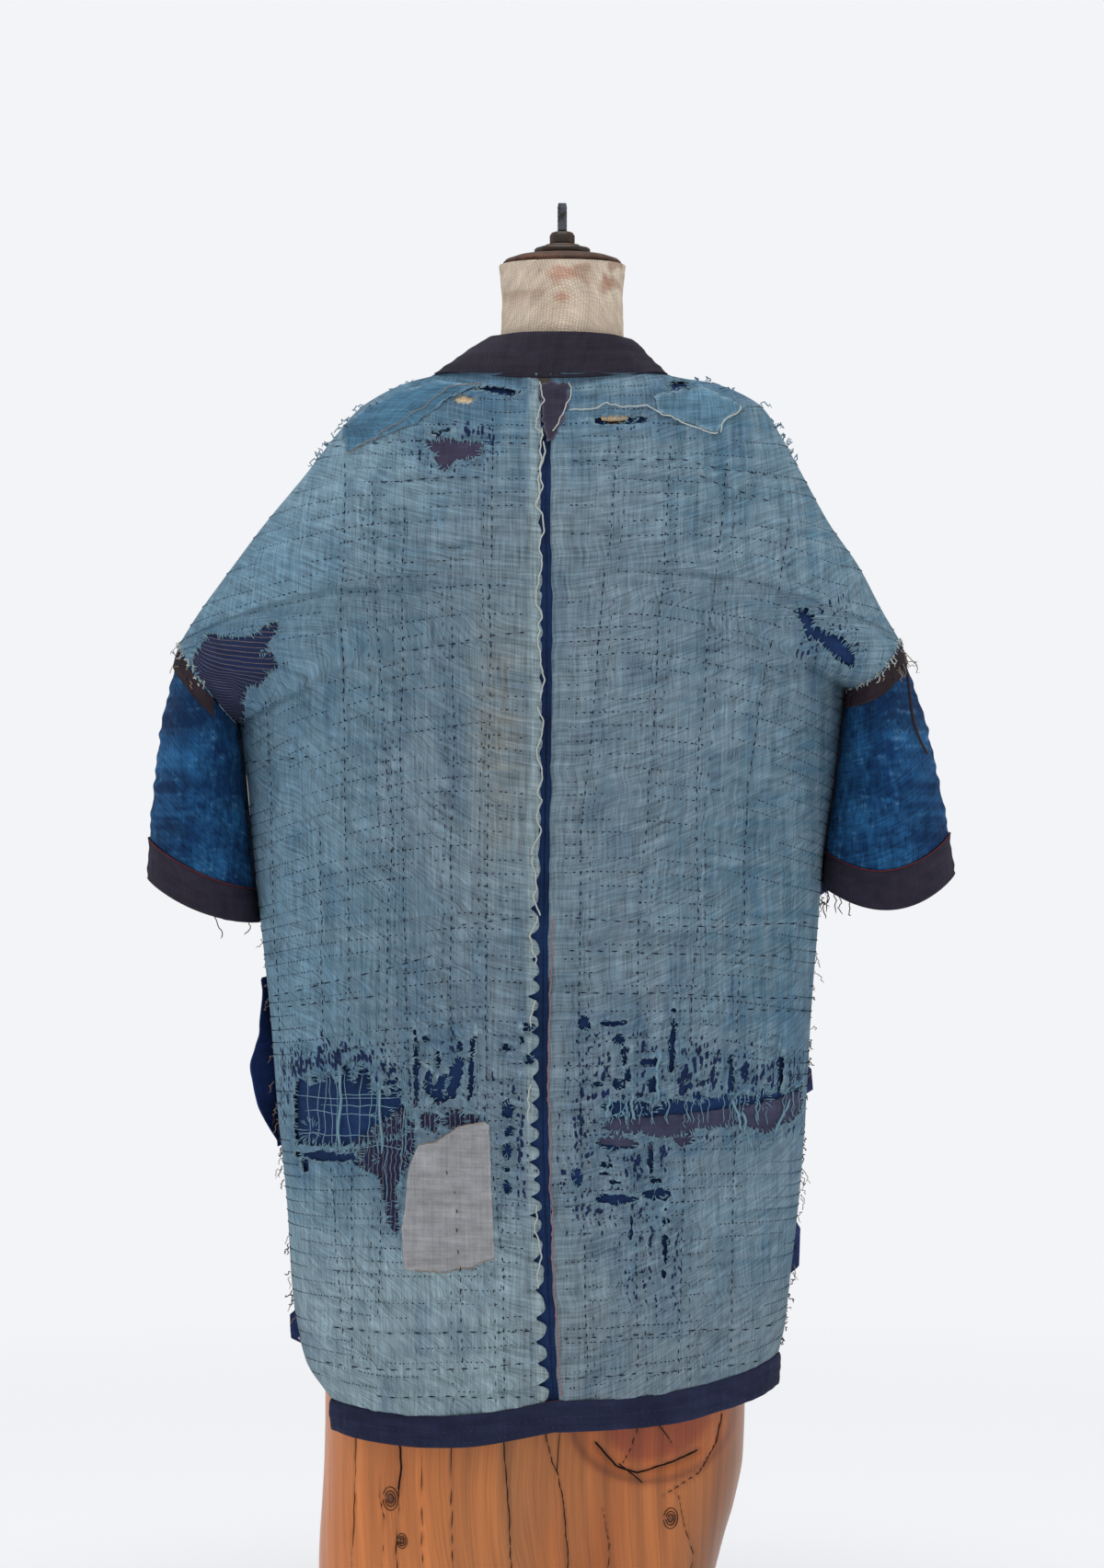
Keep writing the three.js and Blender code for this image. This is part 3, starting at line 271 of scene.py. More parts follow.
def body(side, face, u, v, start):
    ex, ey, ez = edge(side, v)
    seam = smooth(LEVELS, SEAM_X, v) * side["sign"]
    depth = smooth(LEVELS, BACK_DEPTH if face == BACK else FRONT_DEPTH, v)
    half = ex - seam
    reach = section(ey / depth)
    first = np.arcsin(np.clip(start / half * reach, 0, 1))
    t = np.clip(np.sin(first + (np.arcsin(reach) - first) * u) / reach, 0, 1)
    x = side["sign"] * (seam + half * t)
    centre = BACK_NECK_Z - BACK_LENGTH * v
    z = centre + (ez - centre) * t ** DROOP_POWER + side["hem_dip"] * v ** 6 * np.sin(np.pi * t)
    y = depth * section(np.clip(reach * t, 0, 1))
    for x0, z0, x1, z1, width, rise in FOLDS[face]:
        if x0 * side["sign"] < 0:
            continue
        along, off = beside(x, z, x0, z0, x1, z1)
        fade = ease(-0.15, 0.2, along) * ease(1.15, 0.8, along)
        y = y + rise * fade * np.exp(-((off / width) ** 2)) * (1 - t ** 6)
    return np.stack([x, face * y, z], -1), t


def skin(side, face, u, v, start=0.0, lift=0.0, relief=1.0):
    """Points lifted off the body, with the quilting's rise, and the outward direction there."""
    u, v = np.broadcast_arrays(np.asarray(u, float), np.asarray(v, float))
    step = 0.003
    points, t = body(side, face, u, v, start)
    (u0, u1), (v0, v1) = ((np.maximum(value - step, 0), np.minimum(value + step, 1)) for value in (u, v))
    across = body(side, face, u1, v, start)[0] - body(side, face, u0, v, start)[0]
    down = body(side, face, u, v1, start)[0] - body(side, face, u, v0, start)[0]
    normal = np.cross(across, down) * side["sign"] * face
    closed = np.abs(edge(side, v)[1]) < 0.5
    normal[..., 1] *= np.where(closed, 1 - ease(0.95, 1, u), 1)
    normal /= np.linalg.norm(normal, axis=-1, keepdims=True) + 1e-9
    x = points[..., 0] + (face == FRONT) * FRONT_SHIFT
    rise = relief * quilting(x, points[..., 2], BACK_LENGTH * v) * (1 - t ** 8)
    return points + normal * np.asarray(lift + rise)[..., None], normal


print("armpit's place:", np.round(skin(LEFT, BACK, 1.0, 0.258)[0], 1))

# %% [markdown]
# Rips, patches and stitches are measured on the back as it hangs, by x and z. No formula runs that way, so their
# u and v are found by walking towards the place in short steps, which a smooth, nearly flat sheet allows.

# %% Places on the back
STEPS, STEP_SHARE, HALF_WIDTH = 50, 0.8, 300


def level_of(z):
    return np.clip((BACK_NECK_Z - z) / BACK_LENGTH, 0, 1)


def locate(side, x, z):
    """u and v of places (x, z) on the back."""
    x, z = np.asarray(x, float), np.asarray(z, float)
    u, v = np.full(x.shape, 0.5), level_of(z)
    for _ in range(STEPS):
        point = body(side, BACK, u, v, 0.0)[0]
        u = np.clip(u + (x - point[..., 0]) * side["sign"] / HALF_WIDTH * STEP_SHARE, 0, 1)
        v = np.clip(v + (point[..., 2] - z) / BACK_LENGTH * STEP_SHARE, 0, 1)
    return u, v


def on_back(x, z, lift=0.0):
    """Points and directions at places (x, z) on the back, left and right of the seam."""
    x, z = np.atleast_1d(np.asarray(x, float)), np.atleast_1d(np.asarray(z, float))
    points, normals = np.zeros(x.shape + (3,)), np.zeros(x.shape + (3,))
    lift = np.broadcast_to(np.asarray(lift, float), x.shape)
    seam = smooth(LEVELS, SEAM_X, level_of(z))
    for side in SIDES:
        own = (x - seam) * side["sign"] >= 0
        if own.any():
            u, v = locate(side, x[own], z[own])
            points[own], normals[own] = skin(side, BACK, u, v, 0.0, lift[own])
    return points, normals


print("middle of the left back at", np.round(on_back(120, 700)[0][0], 1))

# %% [markdown]
# ## Cloth
# Rips and patches have torn or cut outlines. A boolean would cut them but leaves long thin faces along the edge.
# Here a level function says how far each point is from the outline, below zero inside it, and the sheet follows.

# %% Outlines
def ellipse(x, z, cx, cz, wide, tall, lean=0):
    turn = math.radians(lean)
    a = (x - cx) * math.cos(turn) + (z - cz) * math.sin(turn)
    b = (z - cz) * math.cos(turn) - (x - cx) * math.sin(turn)
    return (np.hypot(a / (wide / 2), b / (tall / 2)) - 1) * min(wide, tall) / 2


def polygon(x, z, corners):
    """Distance to a polygon's outline, below zero inside."""
    away, inside = np.full(x.shape, 1e9), np.zeros(x.shape, bool)
    for (x0, z0), (x1, z1) in zip(corners, corners[1:] + corners[:1]):
        away = np.minimum(away, beside(x, z, x0, z0, x1, z1)[1])
        crosses = ((z0 > z) != (z1 > z)) & (x < (x1 - x0) * (z - z0) / (z1 - z0 + 1e-9) + x0)
        inside ^= crosses
    return np.where(inside, -away, away)


print("a point inside a rip of 10 mm:", float(ellipse(0, 0, 2, 0, 10, 10)))

# %% [markdown]
# Every piece ends in the same way: its bmesh becomes an object that rides on the one body. A sheet also keeps its
# lengths along the cloth. An unwrap would stretch them over folds, so they are added up along the grid instead.

# %% Finished meshes and lengths
CELLS_BETWEEN = 14  # grid cells between the places that a length is measured at


def placed(data, material, smooth_faces=True):
    """An object of the mesh's own name that rides on the part's one body."""
    if smooth_faces:
        data.shade_smooth()
    data.materials.append(material)
    piece = bpy.data.objects.new(data.name, data)
    bpy.context.scene.collection.objects.link(piece)
    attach(piece, "root")
    return piece


def finish_mesh(name, bm, material, smooth_faces=True):
    data = bpy.data.meshes.new(name)
    bm.to_mesh(data)
    bm.free()
    piece = placed(data, material, smooth_faces)
    return piece


def run_along(points, axis):
    """Lengths along a grid's lines, between places so far apart that the cloth's own relief doesn't count."""
    points = np.moveaxis(points, axis, 0)
    count = len(points)
    at = np.unique(np.linspace(0, count - 1, max(count // CELLS_BETWEEN, 2)).round().astype(int))
    total = np.cumsum(np.linalg.norm(np.diff(points[at], axis=0, prepend=points[at][:1]), axis=-1), axis=0)
    place = np.interp(np.arange(count), at, np.arange(len(at)))
    low = np.minimum(place.astype(int), len(at) - 2)
    share = (place - low)[:, None]
    return np.moveaxis(total[low] * (1 - share) + total[low + 1] * share, 0, axis)


def write_surface(piece, normals, lengths, tint, worn):
    """Turns the faces outwards and keeps lengths as a UV map, and colour, with any painted light, and wear as values
    of the points.
    """
    data = piece.data
    numbers = np.zeros(len(data.vertices), np.int32)
    data.attributes["grid_place"].data.foreach_get("value", numbers)
    facing = np.zeros(len(data.vertices) * 3, np.float32)
    data.vertices.foreach_get("normal", facing)
    if np.sum(facing.reshape(-1, 3) * normals[numbers]) < 0:
        data.flip_normals()
    of_loop = np.zeros(len(data.loops), np.int32)
    data.loops.foreach_get("vertex_index", of_loop)
    layer = data.uv_layers.new(name="cloth_lengths")
    layer.data.foreach_set("uv", lengths[numbers][of_loop].astype(np.float32).ravel())
    opaque = np.concatenate([np.clip(tint, 0, 1), np.ones(tint.shape[:-1] + (1,))], -1).reshape(-1, 4)
    data.color_attributes.new("dye_and_painted_light", "FLOAT_COLOR", "POINT")
    data.color_attributes["dye_and_painted_light"].data.foreach_set("color", opaque[numbers].astype(np.float32).ravel())
    data.attributes.new("Worn", "FLOAT", "POINT")
    worn = np.broadcast_to(worn, tint.shape[:-1]).reshape(-1)
    data.attributes["Worn"].data.foreach_set("value", worn[numbers].astype(np.float32))


print("lengths are measured every", CELLS_BETWEEN, "cells")

# %% [markdown]
# The sheet itself starts as bmesh's own grid. Faces inside a rip go, and the points beside it move onto its outline,
# so a raw edge runs clean without a finer grid. A turned rim or a second side then gives the cloth its thickness.

# %% Sheets of cloth
FAR = 99.0  # level of a sheet without rips
NEAR_CELLS, MOST_MOVE = 0.9, 0.6  # in cells: how near the outline a point is moved, and how far at most


def new_grid(columns, rows):
    """A bmesh grid, the order of its vertices by place, and u and v of each place."""
    bm = bmesh.new()
    bmesh.ops.create_grid(bm, x_segments=columns, y_segments=rows, size=0.5)
    raw = np.array([vert.co[:2] for vert in bm.verts]).round(6)
    order = np.lexsort((raw[:, 0], -raw[:, 1]))
    wide = len(np.unique(raw[:, 0]))
    return bm, order, (raw[order, 0] + 0.5).reshape(-1, wide), (0.5 - raw[order, 1]).reshape(-1, wide)


def onto_outline(u, v, away):
    by_row, by_column = np.gradient(away)
    steep = by_row ** 2 + by_column ** 2 + 1e-6
    move = np.where(np.abs(away) < NEAR_CELLS * np.sqrt(steep), -away / steep, 0)
    return [np.clip(value + np.clip(move * by, -MOST_MOVE, MOST_MOVE) / (cells - 1), 0, 1)
            for value, by, cells in ((u, by_column, away.shape[1]), (v, by_row, away.shape[0]))]


def cloth(name, columns, rows, place, slot, colouring, level=None, rim=0.0, thick=0.0, upright=False, material=None):
    """A sheet from a grid. place(u, v) gives points and directions, and the colouring function, from the points and
    their distance to the outline, gives a colour, with any painted light, and how thin the cloth is worn. rim turns
    the outline inwards by its depth, thick gives the sheet a second side. upright keeps the warp parallel to the
    middle of the body."""
    bm, order, u, v = new_grid(columns, rows)
    points, normals = place(u, v)
    away = np.full(u.shape, FAR)
    if level is not None:
        away = level(points)
        u, v = onto_outline(u, v, away)
        points, normals = place(u, v)
    lengths = np.stack([run_along(points, 1), run_along(points, 0)], -1)
    if upright:
        lengths[..., 0] += np.abs(points[:, :1, 0])
    flat_points, flat_normals = points.reshape(-1, 3), normals.reshape(-1, 3)
    mark = bm.verts.layers.int.new("grid_place")
    verts = list(bm.verts)
    for number, index in enumerate(order):
        verts[index][mark] = number
        verts[index].co = flat_points[number] * MM
    if level is not None:
        gone = away.reshape(-1)
        faces = [face for face in bm.faces if sum(gone[vert[mark]] for vert in face.verts) < 0]
        bmesh.ops.delete(bm, geom=faces, context="FACES")
    if rim:
        borders = [border for border in bm.edges if border.is_boundary]
        for vert in bmesh.ops.extrude_edge_only(bm, edges=borders)["geom"]:
            if isinstance(vert, bmesh.types.BMVert):
                vert.co = (flat_points[vert[mark]] - flat_normals[vert[mark]] * rim) * MM
    bmesh.ops.recalc_face_normals(bm, faces=bm.faces)
    piece = finish_mesh(name, bm, material or CLOTHS[slot])
    write_surface(piece, flat_normals, lengths.reshape(-1, 2) * MM, *colouring(points, away))
    if thick:
        solid = piece.modifiers.new("Cloth thickness", "SOLIDIFY")
        solid.thickness, solid.offset = thick * MM, -1
    return piece


print("sheet builder ready")

# %% [markdown]
# ## Materials
# A material is a tree of nodes. One function adds a node of any kind, sets or links its inputs and gives an output.
# A few recipes join nodes that belong together, so that a finish reads as a list of its layers.

# %% Nodes
def add(tree, kind, inputs=None, out=0, **settings):
    """Adds a node and gives its output, or the node itself where it has none."""
    node = tree.nodes.new("ShaderNode" + kind)
    for key, value in settings.items():
        setattr(node, key, value)
    for key, value in (inputs or {}).items():
        if isinstance(value, bpy.types.NodeSocket):
            tree.links.new(value, node.inputs[key])
        else:
            node.inputs[key].default_value = value
    return node.outputs[out] if node.outputs else node


MIX_A, MIX_B, MIX_RESULT = 6, 7, 2  # sockets of a Mix node that mixes colours


def new_material(name):
    material = bpy.data.materials.new(name)
    material.use_nodes = True
    tree = material.node_tree
    tree.nodes.clear()
    surface = add(tree, "BsdfPrincipled", {"Roughness": 0.92, "Specular IOR Level": 0.2})
    add(tree, "OutputMaterial", {0: surface})
    return material, tree, surface.node


def weighted(tree, *terms, plus=None):
    """The sum of outputs, each times its weight, and of a number."""
    total = None
    for output, weight in terms:
        part = add(tree, "Math", {0: output, 1: weight}, operation="MULTIPLY")
        total = add(tree, "Math", {0: total, 1: part}, operation="ADD") if total else part
    return total if plus is None else add(tree, "Math", {0: total, 1: plus}, operation="ADD")


def ramp(tree, value, start, rate):
    """0 up to start, then up to 1 at the given rate."""
    past = add(tree, "Math", {0: value, 1: start}, operation="SUBTRACT")
    return add(tree, "Math", {0: past, 1: rate}, operation="MULTIPLY", use_clamp=True)


def streaks(tree, vector, scale, detail=2.0, roughness=0.5, out=0):
    """Noise stretched along an axis: scale is in patches to the metre, 1000 for patches of a millimetre."""
    place = add(tree, "Mapping", {"Vector": vector, "Scale": scale})
    return add(tree, "TexNoise", {"Vector": place, "Scale": 1.0, "Detail": detail, "Roughness": roughness}, out)


print("recipes: weighted sum, ramp, streaks")

# %% [markdown]
# The jacket is hand-woven cotton in plain weave, dyed with indigo and washed for years, which makes it chalky and
# rough, without gloss. Hand-spun yarn varies in thickness, so long slubs run both ways. The real yarns lie about
# 0.4 mm apart, too fine to show here, and are drawn 0.7 mm apart, with slubs of 2 mm beside the real ones of 0.7 mm.
# Waves and noise follow the cloth's real lengths, which an image wouldn't. Where it is worn thin, holes of about 4 by
# 8 mm, drawn coarse too, show the cloth beneath.

# %% Woven cotton
WAVE = 100 * math.pi  # scale of a wave texture that repeats each millimetre of a UV map in metres


def cotton(name, shown_beneath="#1E2F57", thread=0.7, contrast=0.35, slubs=0.5, bump=0.25, stripes=None):
    """thread is the pitch of warp and weft in millimetres. stripes: colour, pitch, share, along which axis."""
    material, tree, shader = new_material(name)
    lengths = add(tree, "UVMap", uv_map="cloth_lengths")
    base = add(tree, "VertexColor", layer_name="dye_and_painted_light")
    worn = add(tree, "Attribute", out="Fac", attribute_name="Worn")
    warp, weft = (add(tree, "TexWave", {"Vector": lengths, "Scale": WAVE / thread, "Distortion": 1.2, "Detail": 1.0,
                                        "Detail Scale": 2.0}, "Fac", bands_direction=axis) for axis in ("X", "Y"))
    weave = add(tree, "Math", {0: warp, 1: weft}, operation="MULTIPLY")
    slub = weighted(tree, (streaks(tree, lengths, (1400, 45, 1), 1.0), 0.22),
                    (streaks(tree, lengths, (45, 1400, 1), 1.0), 0.22),
                    (streaks(tree, lengths, (520, 16, 1)), 0.28), (streaks(tree, lengths, (16, 420, 1)), 0.28))
    grime = streaks(tree, lengths, (60, 90, 1), 4.0, 0.65)
    tone = weighted(tree, (slub, 3.0 * slubs), (grime, 0.9), (weave, contrast),
                    plus=0.57 - 1.5 * slubs - 0.3 * contrast)
    if stripes:
        shade, pitch, share, axis = stripes
        lines = add(tree, "TexWave", {"Vector": lengths, "Scale": WAVE / pitch, "Distortion": 0.6, "Detail": 2.0,
                                      "Detail Scale": 3.0}, "Fac", bands_direction=axis)
        lines = add(tree, "Math", {0: ramp(tree, lines, 1 - share, 5), 1: weighted(tree, (slub, 1.7))},
                    operation="MULTIPLY", use_clamp=True)
        base = add(tree, "Mix", {0: lines, MIX_A: base, MIX_B: (*colour(shade), 1)}, MIX_RESULT, data_type="RGBA")
    cells = add(tree, "TexVoronoi", {"Vector": add(tree, "Mapping", {"Vector": lengths, "Scale": (240, 130, 1)}),
                                     "Scale": 1.0, "Randomness": 0.8}, "Distance", voronoi_dimensions="2D",
                distance="CHEBYCHEV")
    thin = weighted(tree, (streaks(tree, lengths, (170, 22, 1), 2.0, 0.6), 0.66),
                    (streaks(tree, lengths, (26, 190, 1), 2.0, 0.6), 0.34), (worn, 0.5), plus=-0.68)
    thin = ramp(tree, weighted(tree, (thin, 2.6), (cells, -1)), -0.1, 9)
    base = add(tree, "Mix", {0: thin, MIX_A: base, MIX_B: (*colour(shown_beneath), 1)}, MIX_RESULT, data_type="RGBA")
    tinted = add(tree, "VectorMath", {0: base, 1: tone}, operation="MULTIPLY")
    tree.links.new(tinted, shader.inputs["Base Color"])
    crinkle = streaks(tree, lengths, (150, 420, 1), 3.0, 0.6)
    height = weighted(tree, (weave, 0.25), (crinkle, 1), (thin, -0.6))
    relief = add(tree, "Bump", {"Strength": bump, "Distance": 0.0012, "Height": height})
    tree.links.new(relief, shader.inputs["Normal"])
    return material


print("waves to the metre at a pitch of 1 mm:", round(WAVE))

# %% [markdown]
# All cloths are made by that recipe and differ in dye, slubs and relief. The form's cover is ribbed cotton jersey,
# worn matt: its ribs, about 1.2 mm apart, are drawn at 2.4 mm to show. The striped cloth is woven from navy and tan
# yarns and lies across in one patch and upright in the other.

# %% Cloths by slot
CLOTHS = {
    "light_blue_cloth": cotton("washed_out_indigo_cotton", slubs=1.3, bump=1.0),
    "indigo_cloth": cotton("deep_indigo_cotton", slubs=0.6, contrast=0.5, bump=0.4),
    "sleeve_cloth": cotton("mottled_indigo_cotton", "#0D2C52", slubs=1.5, contrast=0.5, bump=1.0),
    "dark_band_cloth": cotton("brown_black_cotton", "#1B1820", slubs=0.5, bump=0.5),
    "hem_cloth": cotton("navy_cotton", "#161A2C", slubs=0.5, bump=0.5),
    "mauve_cloth": cotton("faded_mauve_cotton", "#3E3845", slubs=0.5, bump=0.4),
    "grey_cloth": cotton("grey_cotton_chambray", "#8B888C", slubs=0.6, bump=0.4),
    "form_jersey": cotton("ribbed_cotton_jersey", "#B58E78", thread=2.4, slubs=0.3, contrast=0.5, bump=0.8),
}
STRIPES_ACROSS = cotton("striped_cotton_across", slubs=0.5, stripes=("#B09A86", 4.6, 0.09, "Y"))
STRIPES_UPRIGHT = cotton("striped_cotton_upright", slubs=0.5, stripes=("#B09A86", 4.2, 0.12, "X"))
print("cloths:", len(CLOTHS) + 2)

# %% [markdown]
# ## Rips
# The top cloth has worn through in holes, broken rows and long tears. Painted holes would show no edge, so they are
# cut: ellipses (x, z, wide, tall, lean) for small ones, polygons for tears, ragged along the threads.

# %% Rip outlines
ROUND_RIPS = [
    (77, 1078, 18, 9, 10), (104, 1048, 12, 4, 0), (92, 1050, 9, 4, 0), (49, 1086, 36, 6, 8), (-50, 1060, 42, 6.5, -2),
    (-70, 1060, 20, 6, 0), (-107, 1093, 22, 10, -20), (140, 501, 6, 6, 0), (132, 502, 7, 6, 0), (130, 494, 6, 6, 0),
    (144, 474, 19, 11, 0), (144, 460, 20, 11, 0), (126, 472, 11, 14, 0), (126, 448, 10, 18, 0), (116, 505, 5, 58, 0),
    (97, 522, 4, 18, 0), (83, 507, 12, 38, 14), (79, 532, 6, 18, 0), (96, 494, 9, 28, 12), (106, 500, 6, 24, 0),
    (70, 508, 6, 65, 4), (208, 456, 17, 21, 0), (190, 435, 53, 9, 0), (166, 432, 6, 10, 0), (212, 428, 8, 14, 0),
    (150, 436, 6, 8, 0), (39, 478, 9, 16, 0), (39, 461, 8, 12, 0), (39, 444, 9, 14, 0), (39, 429, 8, 5, 0),
    (39, 414, 9, 12, 0), (28, 534, 4, 25, 0), (104, 468, 16, 18, 0), (84, 470, 20, 16, 0), (68, 468, 10, 14, 0),
    (-25, 550, 12, 13, 0), (-47, 550, 24, 5, 0), (-53, 537, 10, 10, 0), (-58, 528, 8, 6, 0), (-58, 520, 6, 9, 0),
    (-61, 506, 6, 17, 0), (-52, 500, 9, 10, 0), (-34, 499, 7, 4, 0), (-80, 518, 22, 7, 0), (-82, 499, 9, 16, 0),
    (-98, 528, 6, 60, 3), (-148, 502, 6, 46, 0), (-192, 506, 6, 34, 0), (-63, 480, 52, 13, 0), (-120, 487, 11, 10, 0),
    (-160, 483, 6, 14, 0), (-176, 484, 15, 18, 0), (-52, 451, 35, 12, 0), (-108, 452, 17, 11, 0),
    (-80, 438, 6, 30, 0), (-44, 432, 17, 5, 0), (-40, 426, 12, 5, 0), (-48, 418, 17, 4, 0), (-51, 404, 38, 10, 0),
    (-83, 419, 14, 5, 0), (-84, 408, 21, 9, 0), (-19, 422, 8, 20, 0), (-64, 380, 5, 34, 0), (-92, 367, 5, 42, 0),
    (40, 530, 6, 8, 0), (-206, 899, 9, 6, 30), (-160, 1040, 5, 4, 0), (21, 548, 9, 7, 0), (21, 520, 8, 9, 0),
    (108, 540, 4, 12, 0),
]
ARMPIT_LEFT = [(308, 859), (296, 879), (279, 876), (257, 875), (246, 884), (234, 889), (233, 879), (242, 867),
               (249, 860), (237, 859), (232, 849), (242, 844), (246, 835), (261, 831), (264, 817), (268, 800),
               (275, 795), (290, 817), (303, 836)]
ARMPIT_RIGHT = [
    (-200, 903), (-208, 902), (-219, 893), (-220, 884), (-229, 881), (-243, 874), (-253, 863), (-256, 851),
    (-251, 847), (-243, 851), (-233, 859), (-225, 868), (-215, 873), (-209, 883), (-204, 895),
]
WORN_LEFT = [
    (222, 485), (220, 498), (212, 501), (207, 494), (203, 506), (198, 497), (190, 509), (184, 498), (175, 519),
    (170, 497), (162, 516), (156, 510), (153, 492), (146, 496), (140, 487), (135, 499), (127, 485), (121, 472),
    (122, 458), (134, 453), (146, 451), (168, 446), (222, 443),
]
TEAR_LEFT = [(163, 447), (132, 457), (118, 472), (117, 443), (123, 433), (131, 416), (132, 401), (130, 389),
             (129, 377), (131, 370), (139, 379), (141, 393), (146, 406), (147, 416), (154, 424), (163, 427)]
TEAR_RIGHT = [
    (-38, 467), (-48, 472), (-64, 482), (-76, 480), (-98, 487), (-120, 485), (-148, 491), (-160, 486), (-178, 491),
    (-196, 488), (-213, 494), (-213, 469), (-206, 465), (-189, 458), (-179, 454), (-159, 463), (-146, 462),
    (-125, 461), (-111, 457), (-100, 455), (-91, 453), (-82, 455), (-71, 459), (-56, 458), (-40, 462),
]
BLADE = [
    (113, 1041), (96, 1044), (80, 1042), (60, 1040), (64, 1026), (84, 1023), (94, 1014), (103, 1022), (101, 1029),
]
POLYGON_RIPS = [BLADE, ARMPIT_LEFT, ARMPIT_RIGHT, WORN_LEFT, TEAR_LEFT, TEAR_RIGHT]


def rip_level(points):
    """Distance in millimetres from the nearest rip of the top cloth, below zero inside."""
    x, z = points[..., 0], points[..., 2]
    away = np.full(x.shape, 99.0)
    for rip in ROUND_RIPS:
        near = (np.abs(x - rip[0]) < rip[2] + 40) & (np.abs(z - rip[1]) < rip[3] + 40)
        away[near] = np.minimum(away[near], ellipse(x[near], z[near], *rip))
    for corners in POLYGON_RIPS:
        middle = np.mean(corners, axis=0)
        near = (np.abs(x - middle[0]) < 140) & (np.abs(z - middle[1]) < 100)
        away[near] = np.minimum(away[near], polygon(x[near], z[near], corners))
    ragged = 2.6 * (noise(x, z, 2.6, 7, 21) - 0.5) + 2.2 * (noise(x, z, 7, 3, 22) - 0.5)
    return away + ragged


print("rips:", len(ROUND_RIPS) + len(POLYGON_RIPS))

# %% [markdown]
# Washed-out indigo: greyer in the middle and darker beside the rips, and the left half lighter and bluer towards its
# outer edge. It could be painted, but layers of noise, each with its own place and strength, stay exact at any size
# of grid.

# %% Dyes
LIGHT, MID, DEEP, GREY = colour("#869FAE"), colour("#5C8298"), colour("#436A87"), colour("#8C9AA2")
BEIGE, PALE = colour("#9A9685"), colour("#A9C4CC")
WORN_ZONES = [  # x, z, half-width, half-height, strength
    (180, 488, 70, 50, 0.75), (100, 500, 60, 46, 0.5), (36, 455, 22, 70, 0.5), (-60, 480, 60, 70, 0.62),
    (-110, 495, 60, 55, 0.6), (-180, 490, 50, 45, 0.62), (-50, 415, 60, 40, 0.62), (-80, 350, 40, 60, 0.4),
    (-230, 880, 40, 34, 0.5), (85, 1036, 46, 26, 0.55), (-60, 1060, 60, 14, 0.35), (60, 350, 30, 60, 0.25),
]


def plain_dye(code, spread=0.25, seed=31):
    base = colour(code)

    def colouring(points, away):
        x, z = points[..., 0], points[..., 2]
        uneven = noise(x, z, 18, 5, seed) * 0.5 + noise(x, z, 40, 30, seed + 1)
        return base * (1 + spread * (uneven - 0.75))[..., None], 0.0
    return colouring


def top_dye(points, away):
    x, z = points[..., 0], points[..., 2]
    broad = cloudy(x, z, 95, 120, 41)
    streak = noise(x, z, 55, 3.5, 43) * 0.5 + noise(x, z, 4, 70, 44) * 0.5
    washed = np.clip(0.15 + 0.9 * broad + 1.3 * (streak - 0.5), 0, 1)
    tint = blend(np.broadcast_to(MID, x.shape + (3,)), LIGHT, washed)
    tint = blend(tint, colour("#7BA1B8"), 0.6 * ease(110, 230, x))
    tint = blend(tint, GREY, 0.55 * np.exp(-(((x - 5) / 120) ** 2)) * ease(1060, 960, z))
    tint = blend(tint, BEIGE, 0.5 * np.exp(-(((x - 45) / 22) ** 2)) * np.exp(-(((z - 790) / 90) ** 2)) * streak * 1.6)
    tint = blend(tint, GREY, 0.5 * ease(380, 270, z))
    tint = blend(tint, colour("#8EACBC"), 0.5 * ease(60, 110, x) * ease(960, 1000, z) * ease(1080, 1040, z))
    tint = blend(tint, colour("#A9C2CB"), 0.85 * ease(440, 330, z) * ease(10, 50, x) * (0.4 + 0.6 * streak))
    tint = blend(tint, DEEP, 0.55 * ease(1040, 1085, z) * noise(x, z, 30, 9, 45))
    tint = blend(tint, DEEP, 0.3 * ease(0.6, 0.95, noise(x, z, 16, 28, 46)))
    tint = blend(tint, colour("#2F5E86"), 0.5 * np.exp(-np.maximum(away, 0) / 7) * (0.3 + noise(x, z, 3, 8, 47)))
    tint = blend(tint, PALE, 0.5 * ease(1.6, 0.2, away))
    worn = np.zeros(x.shape)
    for cx, cz, wide, tall, strength in WORN_ZONES:
        worn = np.maximum(worn, strength * np.exp(-(((x - cx) / wide) ** 2) ** 1.5 - (((z - cz) / tall) ** 2) ** 1.5))
    return tint, worn * ease(-1, 6, away)


print("dyes ready")

# %% [markdown]
# ## The back
# Each half is a worn top cloth sewn over its indigo backing, and the left border at the seam is scalloped. One mesh
# in two colours would be lighter, but only two sheets give rips their depth. Raw edges sink towards the backing.

# %% Top cloth and backing
FINE = 1.0
TOP_GRID, BACKING_GRID = (int(140 * FINE), int(390 * FINE)), (64, 170)
BACKING_DEPTH, SCALLOP_PITCH = 4.7, 17.5
YOKE_HOLES = ((77, 1078, 18, 8, 10), (-53, 1060, 26, 6, -2))  # holes that go through the backing too


def worn_edge(side, v):
    down = BACK_LENGTH * np.asarray(v, float)
    if side is RIGHT:
        return 4.2 + 1.6 * (noise(down, 7, 12, 1, 52) - 0.5)
    wander = 5 * noise(down, 3 + 0 * down, 90, 1, 50)
    lobes = (1 - np.abs(np.sin(np.pi * down / SCALLOP_PITCH + wander))) ** 1.6
    deep = 9.5 * (0.25 + 0.75 * ease(400, 500, down)) * (0.6 + 0.8 * noise(down, 0 * down, 24, 1, 54))
    return 3.6 + deep * lobes + 2.2 * (noise(down, 0 * down, 7, 1, 51) - 0.5)


